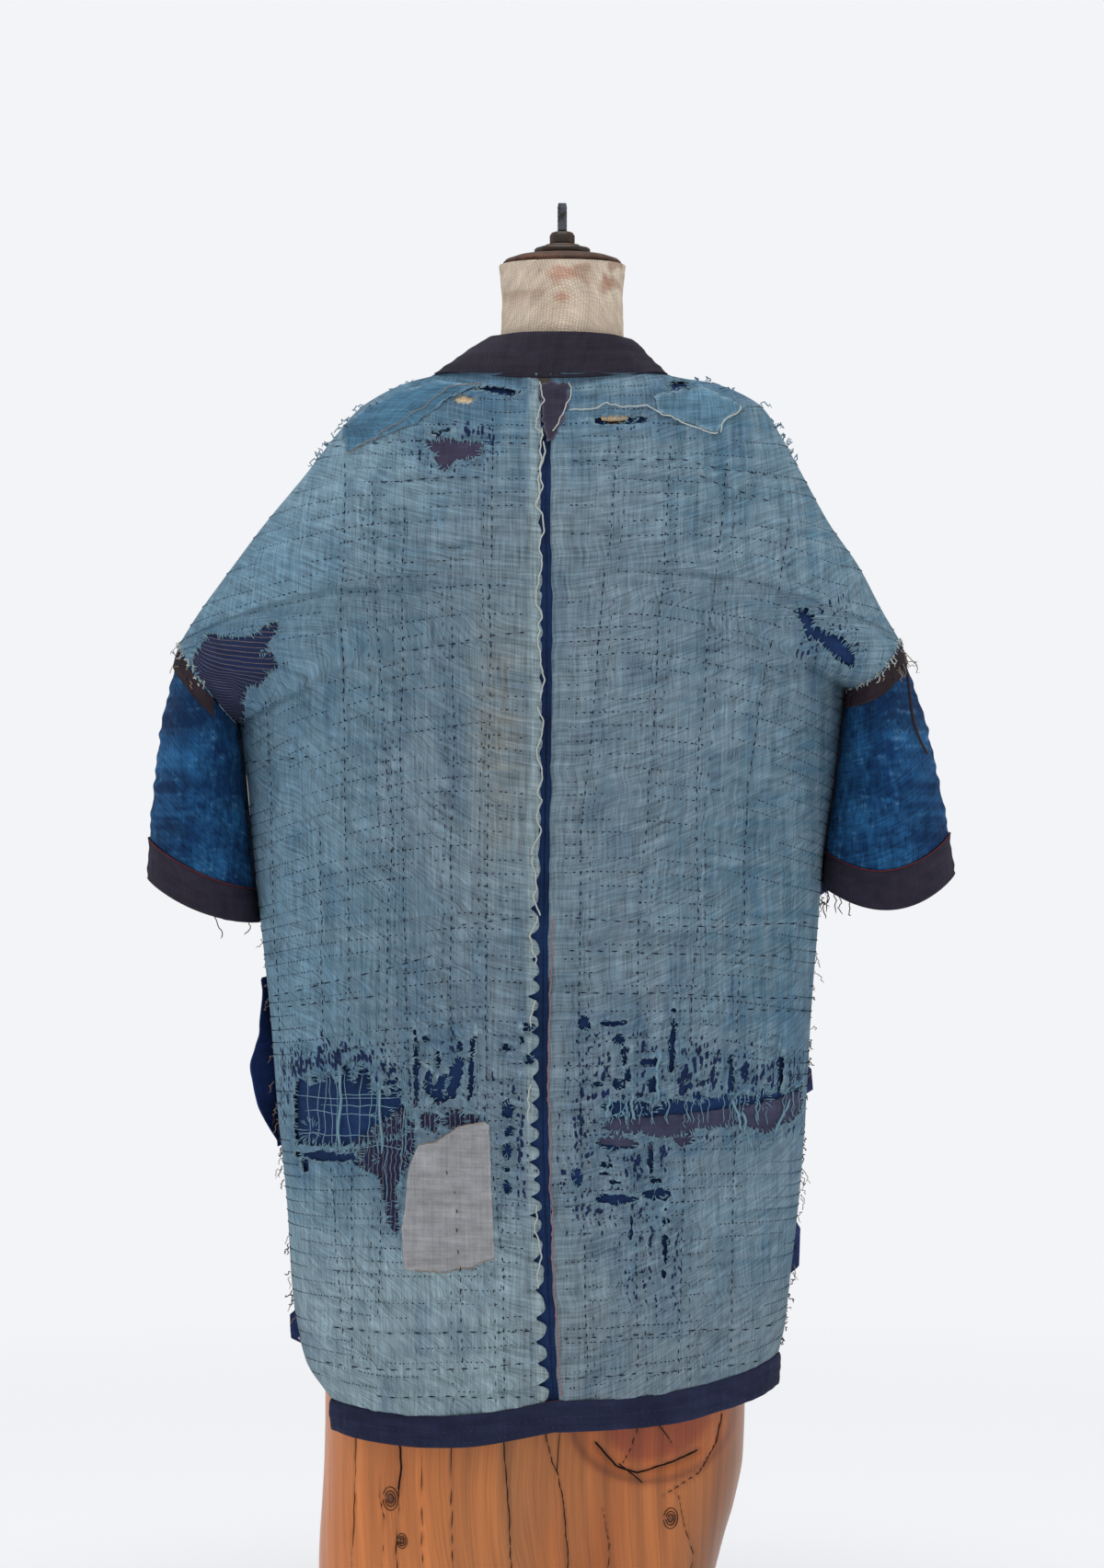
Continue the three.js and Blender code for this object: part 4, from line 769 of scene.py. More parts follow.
def top_place(side):
    def place(u, v):
        start, v = worn_edge(side, v), 1.006 * v - 0.006
        points, normals = skin(side, BACK, u, v, start)
        seam = smooth(LEVELS, SEAM_X, v)
        from_seam = np.abs(points[..., 0] - seam) - start
        sink = 0.9 * np.exp(-np.maximum(rip_level(points), 0) / 3.5) + 1.3 * np.exp(-from_seam / 3)
        welt = 1.1 * np.exp(-(((from_seam - (9 if side is LEFT else 5)) / 3) ** 2))
        return points + normals * (welt - sink)[..., None], normals
    return place


def back_dye(points, away):
    tint, worn = top_dye(points, away)
    x, z = points[..., 0], points[..., 2]
    beyond = x - smooth(LEVELS, SEAM_X, level_of(z))
    border = ease(16, 11, beyond) * (beyond > 0)
    return blend(tint, colour("#B3C6C9"), 0.6 * border * (0.6 + 0.6 * noise(x, z, 3, 5, 53))), worn


def backing_place(side):
    def place(u, v):
        return skin(side, BACK, u, v, 0.1, -BACKING_DEPTH, 0.0)
    return place


def backing_level(points):
    return np.minimum(*(ellipse(points[..., 0], points[..., 2], *hole) for hole in YOKE_HOLES))


backs = {}
for side in SIDES:
    top = cloth(f"back_{side['name']}_top", *TOP_GRID, top_place(side), "light_blue_cloth", back_dye, rip_level,
                rim=0.9, upright=True)
    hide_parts(f"back_{side['name']}_cloth")
    backing = cloth(f"back_{side['name']}_backing", *BACKING_GRID, backing_place(side), "indigo_cloth",
                    plain_dye("#1F3660", 0.5), backing_level, rim=1.4)
    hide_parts(f"back_{side['name']}_under")
    backs[side["name"]], backs[side["name"] + "_backing"] = top, backing
print({name: len(piece.data.polygons) for name, piece in backs.items()})

# %% [markdown]
# Patches are cut from other cloths, laid on the back or pressed under its rips. Shrinkwrap could drape a flat piece,
# but a grid on the back's own surface, lifted or sunk, takes its folds and quilting without a modifier.

# %% Patches
LAID, BENEATH, SCRAP_DEPTH = 1.0, -1.9, -2.2  # lifts of patches: on the top cloth, under its rips, under holes
PATCH_MARGIN = 3  # grid left round the outline that it is cut to


def patch(name, corners, lift, slot, colouring, cell=2.1, ragged=1.0, node=True, material=None):
    low, high = np.min(corners, axis=0) - PATCH_MARGIN, np.max(corners, axis=0) + PATCH_MARGIN
    columns, rows = (np.ceil((high - low) / cell)).astype(int)

    def place(u, v):
        return tuple(part.reshape(u.shape + (3,)) for part in on_back(
            (high[0] - u * (high[0] - low[0])).ravel(), (high[1] - v * (high[1] - low[1])).ravel(), lift))

    def level(points):
        x, z = points[..., 0], points[..., 2]
        return ragged * 2.4 * (noise(x, z, 4, 3, 61) - 0.5) - polygon(x, z, corners)

    piece = cloth(name + "_piece", int(columns), int(rows), place, slot, colouring, level, thick=0.7, material=material)
    if node:
        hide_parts(name)
    return piece


def edged_dye(code, edge_code, spread=0.25, width=3.0):
    plain = plain_dye(code, spread, 63)

    def colouring(points, away):
        return blend(plain(points, away)[0], colour(edge_code), 0.8 * ease(width, 0.3, away)), 0.0
    return colouring


NECK_PATCH = [(15, 1093), (-12, 1093), (-11, 1072), (-6, 1058), (-1, 1044), (7, 1040), (11, 1060), (12, 1076)]
SHOULDER_LEFT = [(184, 1056), (178, 1034), (119, 1057), (92, 1078), (66, 1091), (100, 1096), (137, 1087), (166, 1072)]
SHOULDER_RIGHT = [(-85, 1082), (-88, 1067), (-138, 1048), (-146, 1060), (-164, 1074), (-127, 1091)]
GREY_PATCH = [(114, 448), (100, 451), (89, 458), (82, 464), (59, 469), (55, 466), (50, 356), (68, 348), (96, 343),
              (117, 344), (126, 345), (128, 379), (125, 398), (123, 426), (117, 442)]
STRIPES_ARMPIT = [(228, 897), (312, 882), (314, 858), (306, 830), (292, 806), (276, 792), (258, 796), (228, 838)]
STRIPES_SIDE = [
    (60, 484), (118, 486), (168, 452), (166, 420), (152, 392), (140, 364), (124, 362), (110, 440), (60, 452),
]
MAUVE_TEAR = [(-78, 472), (-151, 478), (-218, 488), (-218, 450), (-90, 444), (-32, 450), (-34, 470)]
MAUVE_BLADE = [(52, 1048), (112, 1046), (110, 1008), (54, 1012)]
patches = [
    patch("neck_patch", NECK_PATCH, 0.9, "mauve_cloth", edged_dye("#3B3748", "#6E6C80", 0.3, 2), 1.5),
    patch("shoulder_patch_left", SHOULDER_LEFT, LAID, "light_blue_cloth", edged_dye("#54809C", "#86A9C0", 0.5)),
    patch("shoulder_patch_right", SHOULDER_RIGHT, LAID, "light_blue_cloth", edged_dye("#6389A0", "#98B7C6", 0.4)),
    patch("grey_patch", GREY_PATCH, LAID, "grey_cloth", edged_dye("#A0A0A3", "#B4B3B2", 0.25, 2), 1.5, 0.3),
    patch("stripe_patch_armpit", STRIPES_ARMPIT, BENEATH, "stripe_cloth", plain_dye("#212C4C"),
          material=STRIPES_ACROSS),
    patch("stripe_patch_side", STRIPES_SIDE, BENEATH, "stripe_cloth", plain_dye("#212C4C"),
          material=STRIPES_UPRIGHT),
    patch("mauve_patch_tear", MAUVE_TEAR, BENEATH, "mauve_cloth", plain_dye("#42435A", 0.4)),
    patch("mauve_patch_blade", MAUVE_BLADE, BENEATH, "mauve_cloth", plain_dye("#48435A", 0.4)),
]
SCRAPS = {"pale_scrap_left": [(68, 1070), (69, 1088), (92, 1088), (90, 1068)],
          "pale_scrap_right": [(-38, 1067), (-62, 1067), (-61, 1059), (-39, 1058)]}
scraps = [patch(name, corners, SCRAP_DEPTH, "form_jersey", plain_dye("#D9C09C"), 2.0, node=False)
          for name, corners in SCRAPS.items()]
print("patches and scraps:", len(patches) + len(scraps))

# %% [markdown]
# ## Fronts, sleeves and bands
# The fronts are the same lengths of cloth, carried over the shoulder. They could be mirrored from the back, but they
# are open in the middle, so they are laid anew on the front's sections.

# %% Fronts
FRONT_GRID = (64, 210)


def front_place(side):
    def place(u, v):
        return skin(side, FRONT, u, v, smooth(LEVELS, OPENING, v))
    return place


def front_dye(points, away):
    x, z = points[..., 0], points[..., 2]
    return top_dye(points, away)[0], 0.4 * ease(0.6, 0.85, noise(x, z, 70, 50, 71))


for side in SIDES:
    front = cloth(f"front_{side['name']}_cloth", *FRONT_GRID, front_place(side), "light_blue_cloth", front_dye,
                  rim=2.2, upright=True)
    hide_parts(f"front_{side['name']}")

# %% [markdown]
# A sleeve is a tube from the armhole to its mouth, crinkled round the arm. A bent cylinder wouldn't meet the armhole,
# so a ring is moved from one outline to the other, clear of the body below the armpit.

# %% Sleeve surface
SLEEVE_RADIUS, SLEEVE_LENGTH = 70, 200  # rough sizes, for the scale of its crinkles


def with_directions(points, sign):
    across, down = np.gradient(points, axis=1), np.gradient(points, axis=0)
    normal = np.cross(across, down) * sign
    return normal / (np.linalg.norm(normal, axis=-1, keepdims=True) + 1e-9)


HALVINGS = 22


def body_width(side, y, z):
    """Half-width of the closed body at a depth and height, beside the hanging sleeve."""
    high, low = np.full(y.shape, side["side"][0][0]), np.full(y.shape, 0.75)
    for _ in range(HALVINGS):
        v = (high + low) / 2
        rim = edge(side, v)
        depth = np.where(y >= 0, smooth(LEVELS, BACK_DEPTH, v), smooth(LEVELS, FRONT_DEPTH, v))
        t = section(np.clip(np.abs(y) / depth, 0, 1))
        centre = BACK_NECK_Z - BACK_LENGTH * v
        above = centre + (rim[2] - centre) * t ** DROOP_POWER > z
        high, low = np.where(above, v, high), np.where(above, low, v)
    seam = smooth(LEVELS, SEAM_X, v) * side["sign"]
    return seam + (rim[0] - seam) * t


def sleeve_points(side, turn, share):
    x0, y0, z0 = armhole(side, turn)
    outer_x, outer_z, inner_x, inner_z, dip, half_depth = side["cuff"]
    across, out = np.cos(turn), np.sin(turn)
    mouth_x = (outer_x + inner_x) / 2 + (outer_x - inner_x) / 2 * across
    mouth_z = (outer_z + inner_z) / 2 + (outer_z - inner_z) / 2 * across - dip * np.maximum(out, 0) ** 2
    y, z = y0 + (half_depth * out - y0) * share, z0 + (mouth_z - z0) * share
    x = x0 + (mouth_x - x0) * share + np.maximum(6 * np.sin(np.pi * share) * across, 0)
    clear = 2.6 * ease(0, 0.06, share)
    beside = np.where((across < 0.2) & (share > 0), body_width(side, y, z) + clear, 0)
    return np.stack([side["sign"] * np.maximum(x, beside), y, z], -1)


def sleeve_place(side, first, last, lift, first_turn=-math.pi, last_turn=math.pi, crinkle=1.0):
    def place(u, v):
        turn, share = first_turn + (last_turn - first_turn) * u, first + (last - first) * v
        points = sleeve_points(side, turn, share)
        normals = with_directions(points, -side["sign"])
        around, down = SLEEVE_RADIUS * turn, SLEEVE_LENGTH * share
        rise = 2.2 * (noise(around, down, 26, 6, 81) - 0.5) + 1.8 * (noise(around, down, 9, 11, 82) - 0.5)
        hold = ease(0, 0.06, v) * ease(1, 0.94, v) * (1 - ease(0.55, 0.8, -np.cos(turn)))
        return points + normals * (lift + rise * crinkle * hold)[..., None], normals
    return place


def sleeve_dye(points, away):
    x, z, y = np.abs(points[..., 0]), points[..., 2], points[..., 1]
    patchy = cloudy(x + 0.6 * y, z, 30, 24, 83)
    fine = noise(x + 0.6 * y, z, 2.2, 9, 84) * 0.5 + noise(x + 0.6 * y, z, 8, 2.4, 85) * 0.5
    share = np.clip(1.5 * patchy - 0.35 + 1.1 * (fine - 0.5), 0, 1)
    tint = blend(np.broadcast_to(colour("#103A68"), x.shape + (3,)), colour("#2F6FA4"), share)
    tint = blend(tint, colour("#0C2C54"), 0.5 * ease(0.55, 0.75, noise(x + y, z, 40, 30, 88)))
    tint = blend(tint, colour("#6C98BC"), 0.5 * ease(0.74, 0.92, fine))
    return tint, 0.2


print("sleeve's mouth at", np.round(sleeve_points(LEFT, np.array(0.0), np.array(1.0)), 1))

# %% [markdown]
# Each sleeve has a dark cuff band folded over its edge, and what is left of a dark band over its seam. They are
# stretches of the sleeve's own surface, lifted, so that they follow each crinkle; a torn end comes from its level.

# %% Sleeves, cuffs and armhole bands
CUFF_SHARE = 0.83  # of the sleeve's length, where the cuff band begins
BAND_ENDS = {"left": (-1.25, 1.9), "right": (-1.25, 2.9)}  # turns between which the armhole band is left


def band_level(points):
    return 3.5 * (noise(points[..., 1], points[..., 2], 5, 5, 87) - 0.13)


sleeves = []
for side in SIDES:
    name = side["name"]
    sleeve = cloth(f"sleeve_{name}_cloth", 150, 90, sleeve_place(side, 0.004, CUFF_SHARE - 0.002, 0.0),
                   "sleeve_cloth", sleeve_dye, rim=1.6)
    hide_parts(f"sleeve_{name}")
    cuff = cloth(f"cuff_{name}_band", 150, 20, sleeve_place(side, CUFF_SHARE + 0.002, 1.0, 0.9, crinkle=0.7),
                 "dark_band_cloth", plain_dye("#312D3B", 0.5), thick=2.2)
    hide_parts(f"cuff_{name}")
    band = cloth(f"armhole_{name}_band", 130, 16, sleeve_place(side, 0.012, 0.095, 1.7, *BAND_ENDS[name], 0.8),
                 "dark_band_cloth", plain_dye("#33292F", 0.5), band_level, thick=0.8)
    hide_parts(f"armhole_band_{name}")
    sleeves += [sleeve, cuff, band]
print("sleeve pieces:", len(sleeves))

# %% [markdown]
# The collar is one strip folded double, up one front edge, round the neck and down the other. A curve with a
# flat profile would twist at the neck, so its two edges are given, as rows of stations with the strip between them.

# %% Collar
COLLAR_WIDTH, COLLAR_STATIONS = 46, 420
COLLAR_TILT = math.radians(34)  # how far the band stands up at the neck's front
NECK_HALF_WIDTH, NECK_DEPTH, COLLAR_TOP_Z = 67, 57, 1137


def front_stations(side, v):
    opening = smooth(LEVELS, OPENING, v)
    seam = body(side, FRONT, 0 * v, v, opening)[0]
    rise = COLLAR_TILT * ease(0.3, 0, v)
    free = body(side, FRONT, 0 * v, v, np.maximum(opening - COLLAR_WIDTH * np.cos(rise), 0))[0]
    free[:, 2] = seam[:, 2] + COLLAR_WIDTH * np.sin(rise)
    return seam, free


def back_stations(side, u):
    turn = u * np.pi / 2
    seam = body(side, BACK, u, 0 * u, 0.0)[0]
    return seam, np.stack([-3 + side["sign"] * NECK_HALF_WIDTH * np.sin(turn), NECK_DEPTH * np.cos(turn) ** 0.8,
                           COLLAR_TOP_Z - 6 * u * u], -1)


def evened(line):
    kernel = np.hanning(15) / np.hanning(15).sum()
    return np.stack([np.convolve(np.pad(column, 7, "edge"), kernel, "valid") for column in line.T], 1)


def collar_path():
    v, u = np.linspace(0, 1, 40), np.linspace(0, 1, 14)
    parts = [front_stations(LEFT, v[::-1]), back_stations(LEFT, u[::-1]), back_stations(RIGHT, u[1:]),
             front_stations(RIGHT, v)]
    seam, free = (np.concatenate([part[i] for part in parts]) for i in (0, 1))
    along = run_of((seam + free) / 2)
    even = np.linspace(0, along[-1], COLLAR_STATIONS)
    return even, evened(follow(seam, along, even)), evened(follow(free, along, even))


collar_along, collar_seam, collar_free = collar_path()


def collar_place(u, v):
    at = v * collar_along[-1]
    seam, free = (follow(line, collar_along, at) for line in (collar_seam, collar_free))
    across = 0.02 + 0.98 * u
    points = seam + (free - seam) * across[..., None]
    normals = with_directions(points, 1)
    rows = np.abs(np.sin(np.pi * across * 4.0)) ** 0.7 * 0.8
    rise = rows + 1.6 * (noise(at, across * COLLAR_WIDTH, 18, 12, 91) - 0.5) - 0.4 + 1.5 * ease(0.9, 1, across)
    return points + normals * rise[..., None], normals


collar = cloth("collar_band", 18, COLLAR_STATIONS - 1, collar_place, "dark_band_cloth", plain_dye("#34303C", 0.4),
               thick=2.4)
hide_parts("collar")
print("collar length (mm):", round(float(collar_along[-1])))

# %% [markdown]
# Dark bands bind the lower edges. Each is a strip of its own with a second side, because one extruded from the cloth
# would share its colour and stitches.

# %% Hem bands
HEM_HEIGHT = 27


def hem_place(face, stations):
    """A band below the lower edge, which runs through the stations: side, u and start of the sheet."""
    line = np.array([body(side, face, np.array([u]), np.array([1.0]), start)[0][0] for side, u, start in stations])
    along = run_of(line)

    def place(u, v):
        at = u * along[-1]
        points = follow(line, along, at)
        out = np.cross(np.gradient(points, axis=1), np.array([0, 0, 1.0]))
        out[..., 2] = 0
        out /= np.linalg.norm(out, axis=-1, keepdims=True) + 1e-9
        out *= np.sign(out[..., 1:2] * face + 1e-6)
        rows = 0.5 * np.abs(np.sin(np.pi * 3 * v))
        puff = 1.8 * (noise(at, v * HEM_HEIGHT, 7, 12, 95) - 0.5) + 0.7 * np.sin(np.pi * v) ** 0.5 + rows
        points[..., 2] += 0.6 - (HEM_HEIGHT - 0.6) * v + 1.2 * (noise(at, 0, 30, 1, 96) - 0.5) * v
        return points + out * (0.9 + puff)[..., None], out
    return place


hem_u = np.linspace(0, 1, 40)
back_hem_place = hem_place(BACK, [(LEFT, u, 0.0) for u in hem_u[::-1]] + [(RIGHT, u, 0.0) for u in hem_u[1:]])
hems = [cloth("hem_back_band", 260, 14, back_hem_place, "hem_cloth", plain_dye("#262B45", 0.6), thick=3.2)]
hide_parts("hem_back")
for side in SIDES:
    hem = cloth(f"hem_front_{side['name']}_band", 80, 12, hem_place(FRONT, [(side, u, 70.0) for u in hem_u]),
                "hem_cloth", plain_dye("#262B45", 0.6), thick=2.6)
    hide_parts(f"hem_front_{side['name']}")
    hems.append(hem)
print("hem bands:", len(hems))

# %% [markdown]
# A torn flap is left of a side strip and hangs out past the left edge. It lies on the front's surface and swings out
# by a short table, which was quicker to match than a simulated scrap.

# %% Side flap
FLAP = [  # level, how far out
    (0.565, 4), (0.62, 12), (0.655, 20), (0.69, 17), (0.735, 3),
]
FLAP_TOP, FLAP_SPAN = 0.552, 0.19  # in levels of the body


def flap_place(u, v):
    level = FLAP_TOP + FLAP_SPAN * v
    points, normals = skin(LEFT, FRONT, 0.9 + 0.1 * u, level, 0.0, 0.0, 0.0)
    off = smooth(FLAP, 1, level) * u ** 2 + 2.0 + 1.5 * (noise(level * BACK_LENGTH, u * 30, 12, 10, 97) - 0.5)
    return points + normals * off[..., None], normals


def flap_level(points):
    ragged = 2.5 * (noise(points[..., 1], points[..., 2], 4, 7, 98) - 0.5)
    return 2.5 + ragged - 6 * ease(560, 612, points[..., 2])


flap = cloth("side_flap_cloth", 20, 80, flap_place, "indigo_cloth", plain_dye("#26396B", 0.5), flap_level, thick=0.9)
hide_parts("side_flap_left")
print("flap faces:", len(flap.data.polygons))

# %% [markdown]
# ## Stitches and threads
# The thread is spun cotton: matt, with a twist that darkens it in spots. Thousands of objects or curves would be
# slow, so those of one kind are one mesh from arrays: a stitch is a low grain, a strand a thin tube along points.

# %% Grains and strands
THREADS = {}


def thread_material(name, code):
    material, tree, shader = new_material(name)
    twist = streaks(tree, add(tree, "TexCoord", out="Object"), (900, 900, 900))
    dark, light = (*(colour(code) * 0.6), 1), (*np.clip(colour(code) * 1.35, 0, 1), 1)
    shade = add(tree, "Mix", {0: twist, MIX_A: dark, MIX_B: light}, MIX_RESULT, data_type="RGBA")
    tree.links.new(shade, shader.inputs["Base Color"])
    shader.inputs["Roughness"].default_value = 0.9
    return material


for shade, code in {"navy": "#1B2238", "brown": "#3E312F", "pale": "#C9CFC8", "blue": "#7FA3B5", "tan": "#A08A78",
                    "pink": "#B07F7C", "red": "#5C2A32", "dull": "#4C5064"}.items():
    THREADS[shade] = thread_material(f"spun_cotton_thread_{shade}", code)


def array_mesh(name, points, faces, material):
    """One joined mesh of many small pieces."""
    data = bpy.data.meshes.new(name)
    data.from_pydata((points * MM).tolist(), [], faces.tolist())
    return placed(data, material)


def grains(name, starts, ends, normals, width, height, material):
    """A stitch: pointed at both ends, widest and highest in the middle."""
    along = ends - starts
    sideways = np.cross(along, normals)
    sideways *= width / 2 / (np.linalg.norm(sideways, axis=1, keepdims=True) + 1e-9)
    up = normals * height
    middle = [starts + along * 0.5 + off for off in (sideways, up, -sideways, -up * 0.5)]
    points = np.stack([starts, *middle, ends], 1)
    ring = [(0, 1, 2), (0, 2, 3), (0, 3, 4), (0, 4, 1), (5, 2, 1), (5, 3, 2), (5, 4, 3), (5, 1, 4)]
    faces = (np.arange(len(starts)) * 6)[:, None, None] + np.array(ring)[None]
    return array_mesh(name, points.reshape(-1, 3), faces.reshape(-1, 3), material)


END_SHARE = 0.35  # of its thickness that a strand keeps at its ends


def strands(name, paths, wide, thick, material):
    """paths (n, m, 3); wide and thick are half-sizes across, one for each path."""
    count, steps = paths.shape[:2]
    along = np.gradient(paths, axis=1)
    flat = np.cross(along, np.array([0.13, 1.0, 0.21]))
    flat /= np.linalg.norm(flat, axis=-1, keepdims=True) + 1e-9
    up = np.cross(along, flat)
    up /= np.linalg.norm(up, axis=-1, keepdims=True) + 1e-9
    taper = np.ones(steps)
    taper[0] = taper[-1] = END_SHARE
    wide, thick = (np.broadcast_to(np.asarray(size, float), (count,))[:, None, None] * taper[None, :, None]
                   for size in (wide, thick))
    ring = np.stack([paths + flat * wide, paths + up * thick, paths - flat * wide, paths - up * thick], 2)
    quads = [(4 * i + k, 4 * i + (k + 1) % 4, 4 * i + 4 + (k + 1) % 4, 4 * i + 4 + k)
             for i in range(steps - 1) for k in range(4)]
    faces = (np.arange(count) * 4 * steps)[:, None, None] + np.array(quads)[None]
    return array_mesh(name, ring.reshape(-1, 3), faces.reshape(-1, 4), material)


print("threads:", sorted(THREADS))

# %% [markdown]
# Rows of small running stitches follow the troughs, dashes run down the upright lines, and a few bold rows cross.
# A texture could draw them, but they stand up from the cloth. None lies over a rip or under a patch.

# %% Quilting stitches
DOT_PITCH, DOT_HALF = 0.0155, 0.0038  # of the half-width, about 4 mm apart and 2 mm long


def clear_of_rips(points, room=1.5):
    x, z = points[..., 0], points[..., 2]
    covered = [polygon(x, z, corners) < 1.5 for corners in (NECK_PATCH, SHOULDER_LEFT, SHOULDER_RIGHT, GREY_PATCH)]
    return (rip_level(points) > room) & ~np.any(covered, axis=0)


def dotted_rows(side, face):
    rows = np.arange(14, BACK_LENGTH - 6, ROW_PITCH) / ROW_PITCH
    u, row = np.meshgrid(np.arange(0.05, 0.985, DOT_PITCH), np.round(rows))
    u = u + (rng.random(u.shape) - 0.5) * 0.006
    v = row * ROW_PITCH / BACK_LENGTH
    start = 0.0 if face == BACK else smooth(LEVELS, OPENING, v)
    for _ in range(4):
        points = body(side, face, u, v, start)[0]
        x = points[..., 0] + (face == FRONT) * FRONT_SHIFT
        v = np.clip((row * ROW_PITCH - quilting_wander(x, BACK_LENGTH * v)) / BACK_LENGTH, 0.01, 0.995)
    points = points.reshape(-1, 3)
    u, v = u.ravel(), v.ravel()
    kept = noise(points[:, 0], points[:, 2], 34, 11, 121) > 0.4
    if face == BACK:
        kept &= clear_of_rips(points)
    u, v = u[kept], v[kept]
    start = 0.0 if face == BACK else smooth(LEVELS, OPENING, v)
    first, normals = skin(side, face, u - DOT_HALF, v, start, 0.25)
    last, _ = skin(side, face, u + DOT_HALF, v + 0.0004 * (rng.random(u.shape) - 0.5), start, 0.25)
    return first, last, normals


def dashes(lines, length, pitch, lift=0.35, room=1.5, wander=1.2):
    """Dashes along lines of (x, z) places on the back."""
    first, last = [], []
    for line in lines:
        line = np.array(line, float)
        run = run_of(line)
        at = np.arange(2, run[-1] - length, pitch)
        at = at + (rng.random(at.shape) - 0.5) * pitch * 0.2
        size = length * (0.7 + 0.6 * rng.random(at.shape))
        across = wander * (noise(at, 0 * at, 40, 1, 122 + len(first)) - 0.5) * 2
        tangent = (line[-1] - line[0]) / np.linalg.norm(line[-1] - line[0])
        for ends, where in ((first, at), (last, at + size)):
            ends.append(follow(line, run, where) + across[:, None] * np.array([tangent[1], -tangent[0]]))
    first, last = np.concatenate(first), np.concatenate(last)
    starts, normals = on_back(first[:, 0], first[:, 1], lift)
    ends, _ = on_back(last[:, 0], last[:, 1], lift)
    kept = clear_of_rips((starts + ends) / 2, room)
    return starts[kept], ends[kept], normals[kept]


print("dotted rows are", ROW_PITCH, "mm apart")

# %% [markdown]
# The stitches of thick cotton thread stand out against the faded blue. Real ones are about 0.8 mm wide; too fine to
# show here, they are drawn up to 1.35 mm wide. Each is a grain of eight faces, since there are thousands of them.

# %% Stitches on the back
dots = [np.concatenate(part) for part in zip(*[dotted_rows(side, face) for side in SIDES for face in (BACK, FRONT)])]
quilt_dots = grains("quilting_dots", *dots, 1.35, 0.5, THREADS["navy"])
BOLD_ROWS = [
    [(124, 862), (91, 866), (56, 874), (23, 877)], [(226, 1040), (159, 1040), (104, 1042), (20, 1038)],
    [(273, 768), (197, 775)], [(254, 564), (157, 591), (95, 609)], [(-13, 1024), (-107, 1025), (-194, 1011)],
    [(-13, 640), (-121, 630), (-223, 633)], [(-5, 575), (-105, 575), (-210, 567)],
    [(197, 260), (102, 260), (14, 269)], [(-5, 288), (-105, 292), (-186, 290)],
    [(-5, 254), (-105, 260), (-182, 262)], [(189, 293), (102, 291), (14, 296)],
    [(230, 560), (150, 572)], [(-120, 1010), (-190, 990)], [(60, 1010), (150, 1006)], [(-10, 612), (-200, 604)],
    [(15, 640), (90, 632)], [(15, 240), (150, 236)], [(-160, 560), (-216, 556)],
]
upright = dashes(UPRIGHT_LINES, 4.8, 8.4)
doubled = [[(x + math.copysign(7, x), z - 30) for x, z in line]
           for line in UPRIGHT_LINES[:4] + UPRIGHT_LINES[7:10]]
second = dashes(doubled, 4.2, 13.0)
bold = dashes(BOLD_ROWS, 6.5, 11.5, 0.4)
navy = [np.concatenate(part) for part in zip(upright, bold)]
dash_stitches = grains("quilting_dashes", *navy, 1.25, 0.6, THREADS["navy"])
brown_stitches = grains("brown_dashes", *second, 1.0, 0.5, THREADS["brown"])
GREY_DASHES = [(90, 428), (84, 411), (82, 396), (82, 380), (81, 362), (79, 348)]
grey_dashes = on_back(*np.array(GREY_DASHES, float).T, 1.7)
grey_stitches = grains("grey_patch_dashes", grey_dashes[0], grey_dashes[0] - np.array([0.6, 0, 4.5]), grey_dashes[1],
                       1.2, 0.5, THREADS["brown"])
print("stitches:", len(dots[0]) + len(navy[0]) + len(second[0]))

# %% [markdown]
# Raw edges fray: short threads stand round every rip. Hair could grow them, but their direction matters here, from
# the edge into the rip, and each outline gives it.

# %% Fringe and crossing strands
ROUND_GAP, TORN_GAP, TORN_LONGEST = 2.2, 1.5, 4.5  # mm between threads of a raw edge, and their length


def rip_outlines():
    """Places on the rips' outlines, the direction inwards and how long the threads there may be."""
    places, inwards, longest = [], [], []
    for cx, cz, wide, tall, lean in ROUND_RIPS:
        count = int(np.pi * (wide + tall) / 2 / ROUND_GAP)
        longest.append(np.full(count, 0.4 * min(wide, tall)))
        turn = rng.random(count) * 2 * np.pi
        local = np.stack([np.cos(turn) * wide / 2, np.sin(turn) * tall / 2], 1)
        c, s = math.cos(math.radians(lean)), math.sin(math.radians(lean))
        offset = local @ np.array([[c, s], [-s, c]])
        places.append(offset + (cx, cz))
        inwards.append(-offset / (np.linalg.norm(offset, axis=1, keepdims=True) + 1e-9))
    for corners in POLYGON_RIPS:
        corners = np.array(corners, float)
        following = np.roll(corners, -1, axis=0)
        turning = np.sign(np.sum(corners[:, 0] * following[:, 1] - following[:, 0] * corners[:, 1]))
        for a, b in zip(corners, following):
            count = max(int(np.linalg.norm(b - a) / TORN_GAP), 1)
            direction = (b - a) / np.linalg.norm(b - a)
            places.append(a + (b - a) * rng.random((count, 1)))
            inwards.append(np.tile(np.array([-direction[1], direction[0]]) * turning, (count, 1)))
            longest.append(np.full(count, TORN_LONGEST))
    return [np.concatenate(part) for part in (places, inwards, longest)]


def fringe():
    places, inwards, longest = rip_outlines()
    length = longest * (0.2 + 0.8 * rng.random(len(places)) ** 2)
    bend = (rng.random((len(places), 2)) - 0.5) * 3.0
    rows = []
    for share, lift in ((-0.5, 0.5), (0.0, 0.3), (0.5, -0.5), (1.0, -1.3)):
        spot = places + inwards * (length * share)[:, None] + bend * share ** 2
        rows.append(on_back(spot[:, 0], spot[:, 1], lift)[0])
    return np.stack(rows, 1)


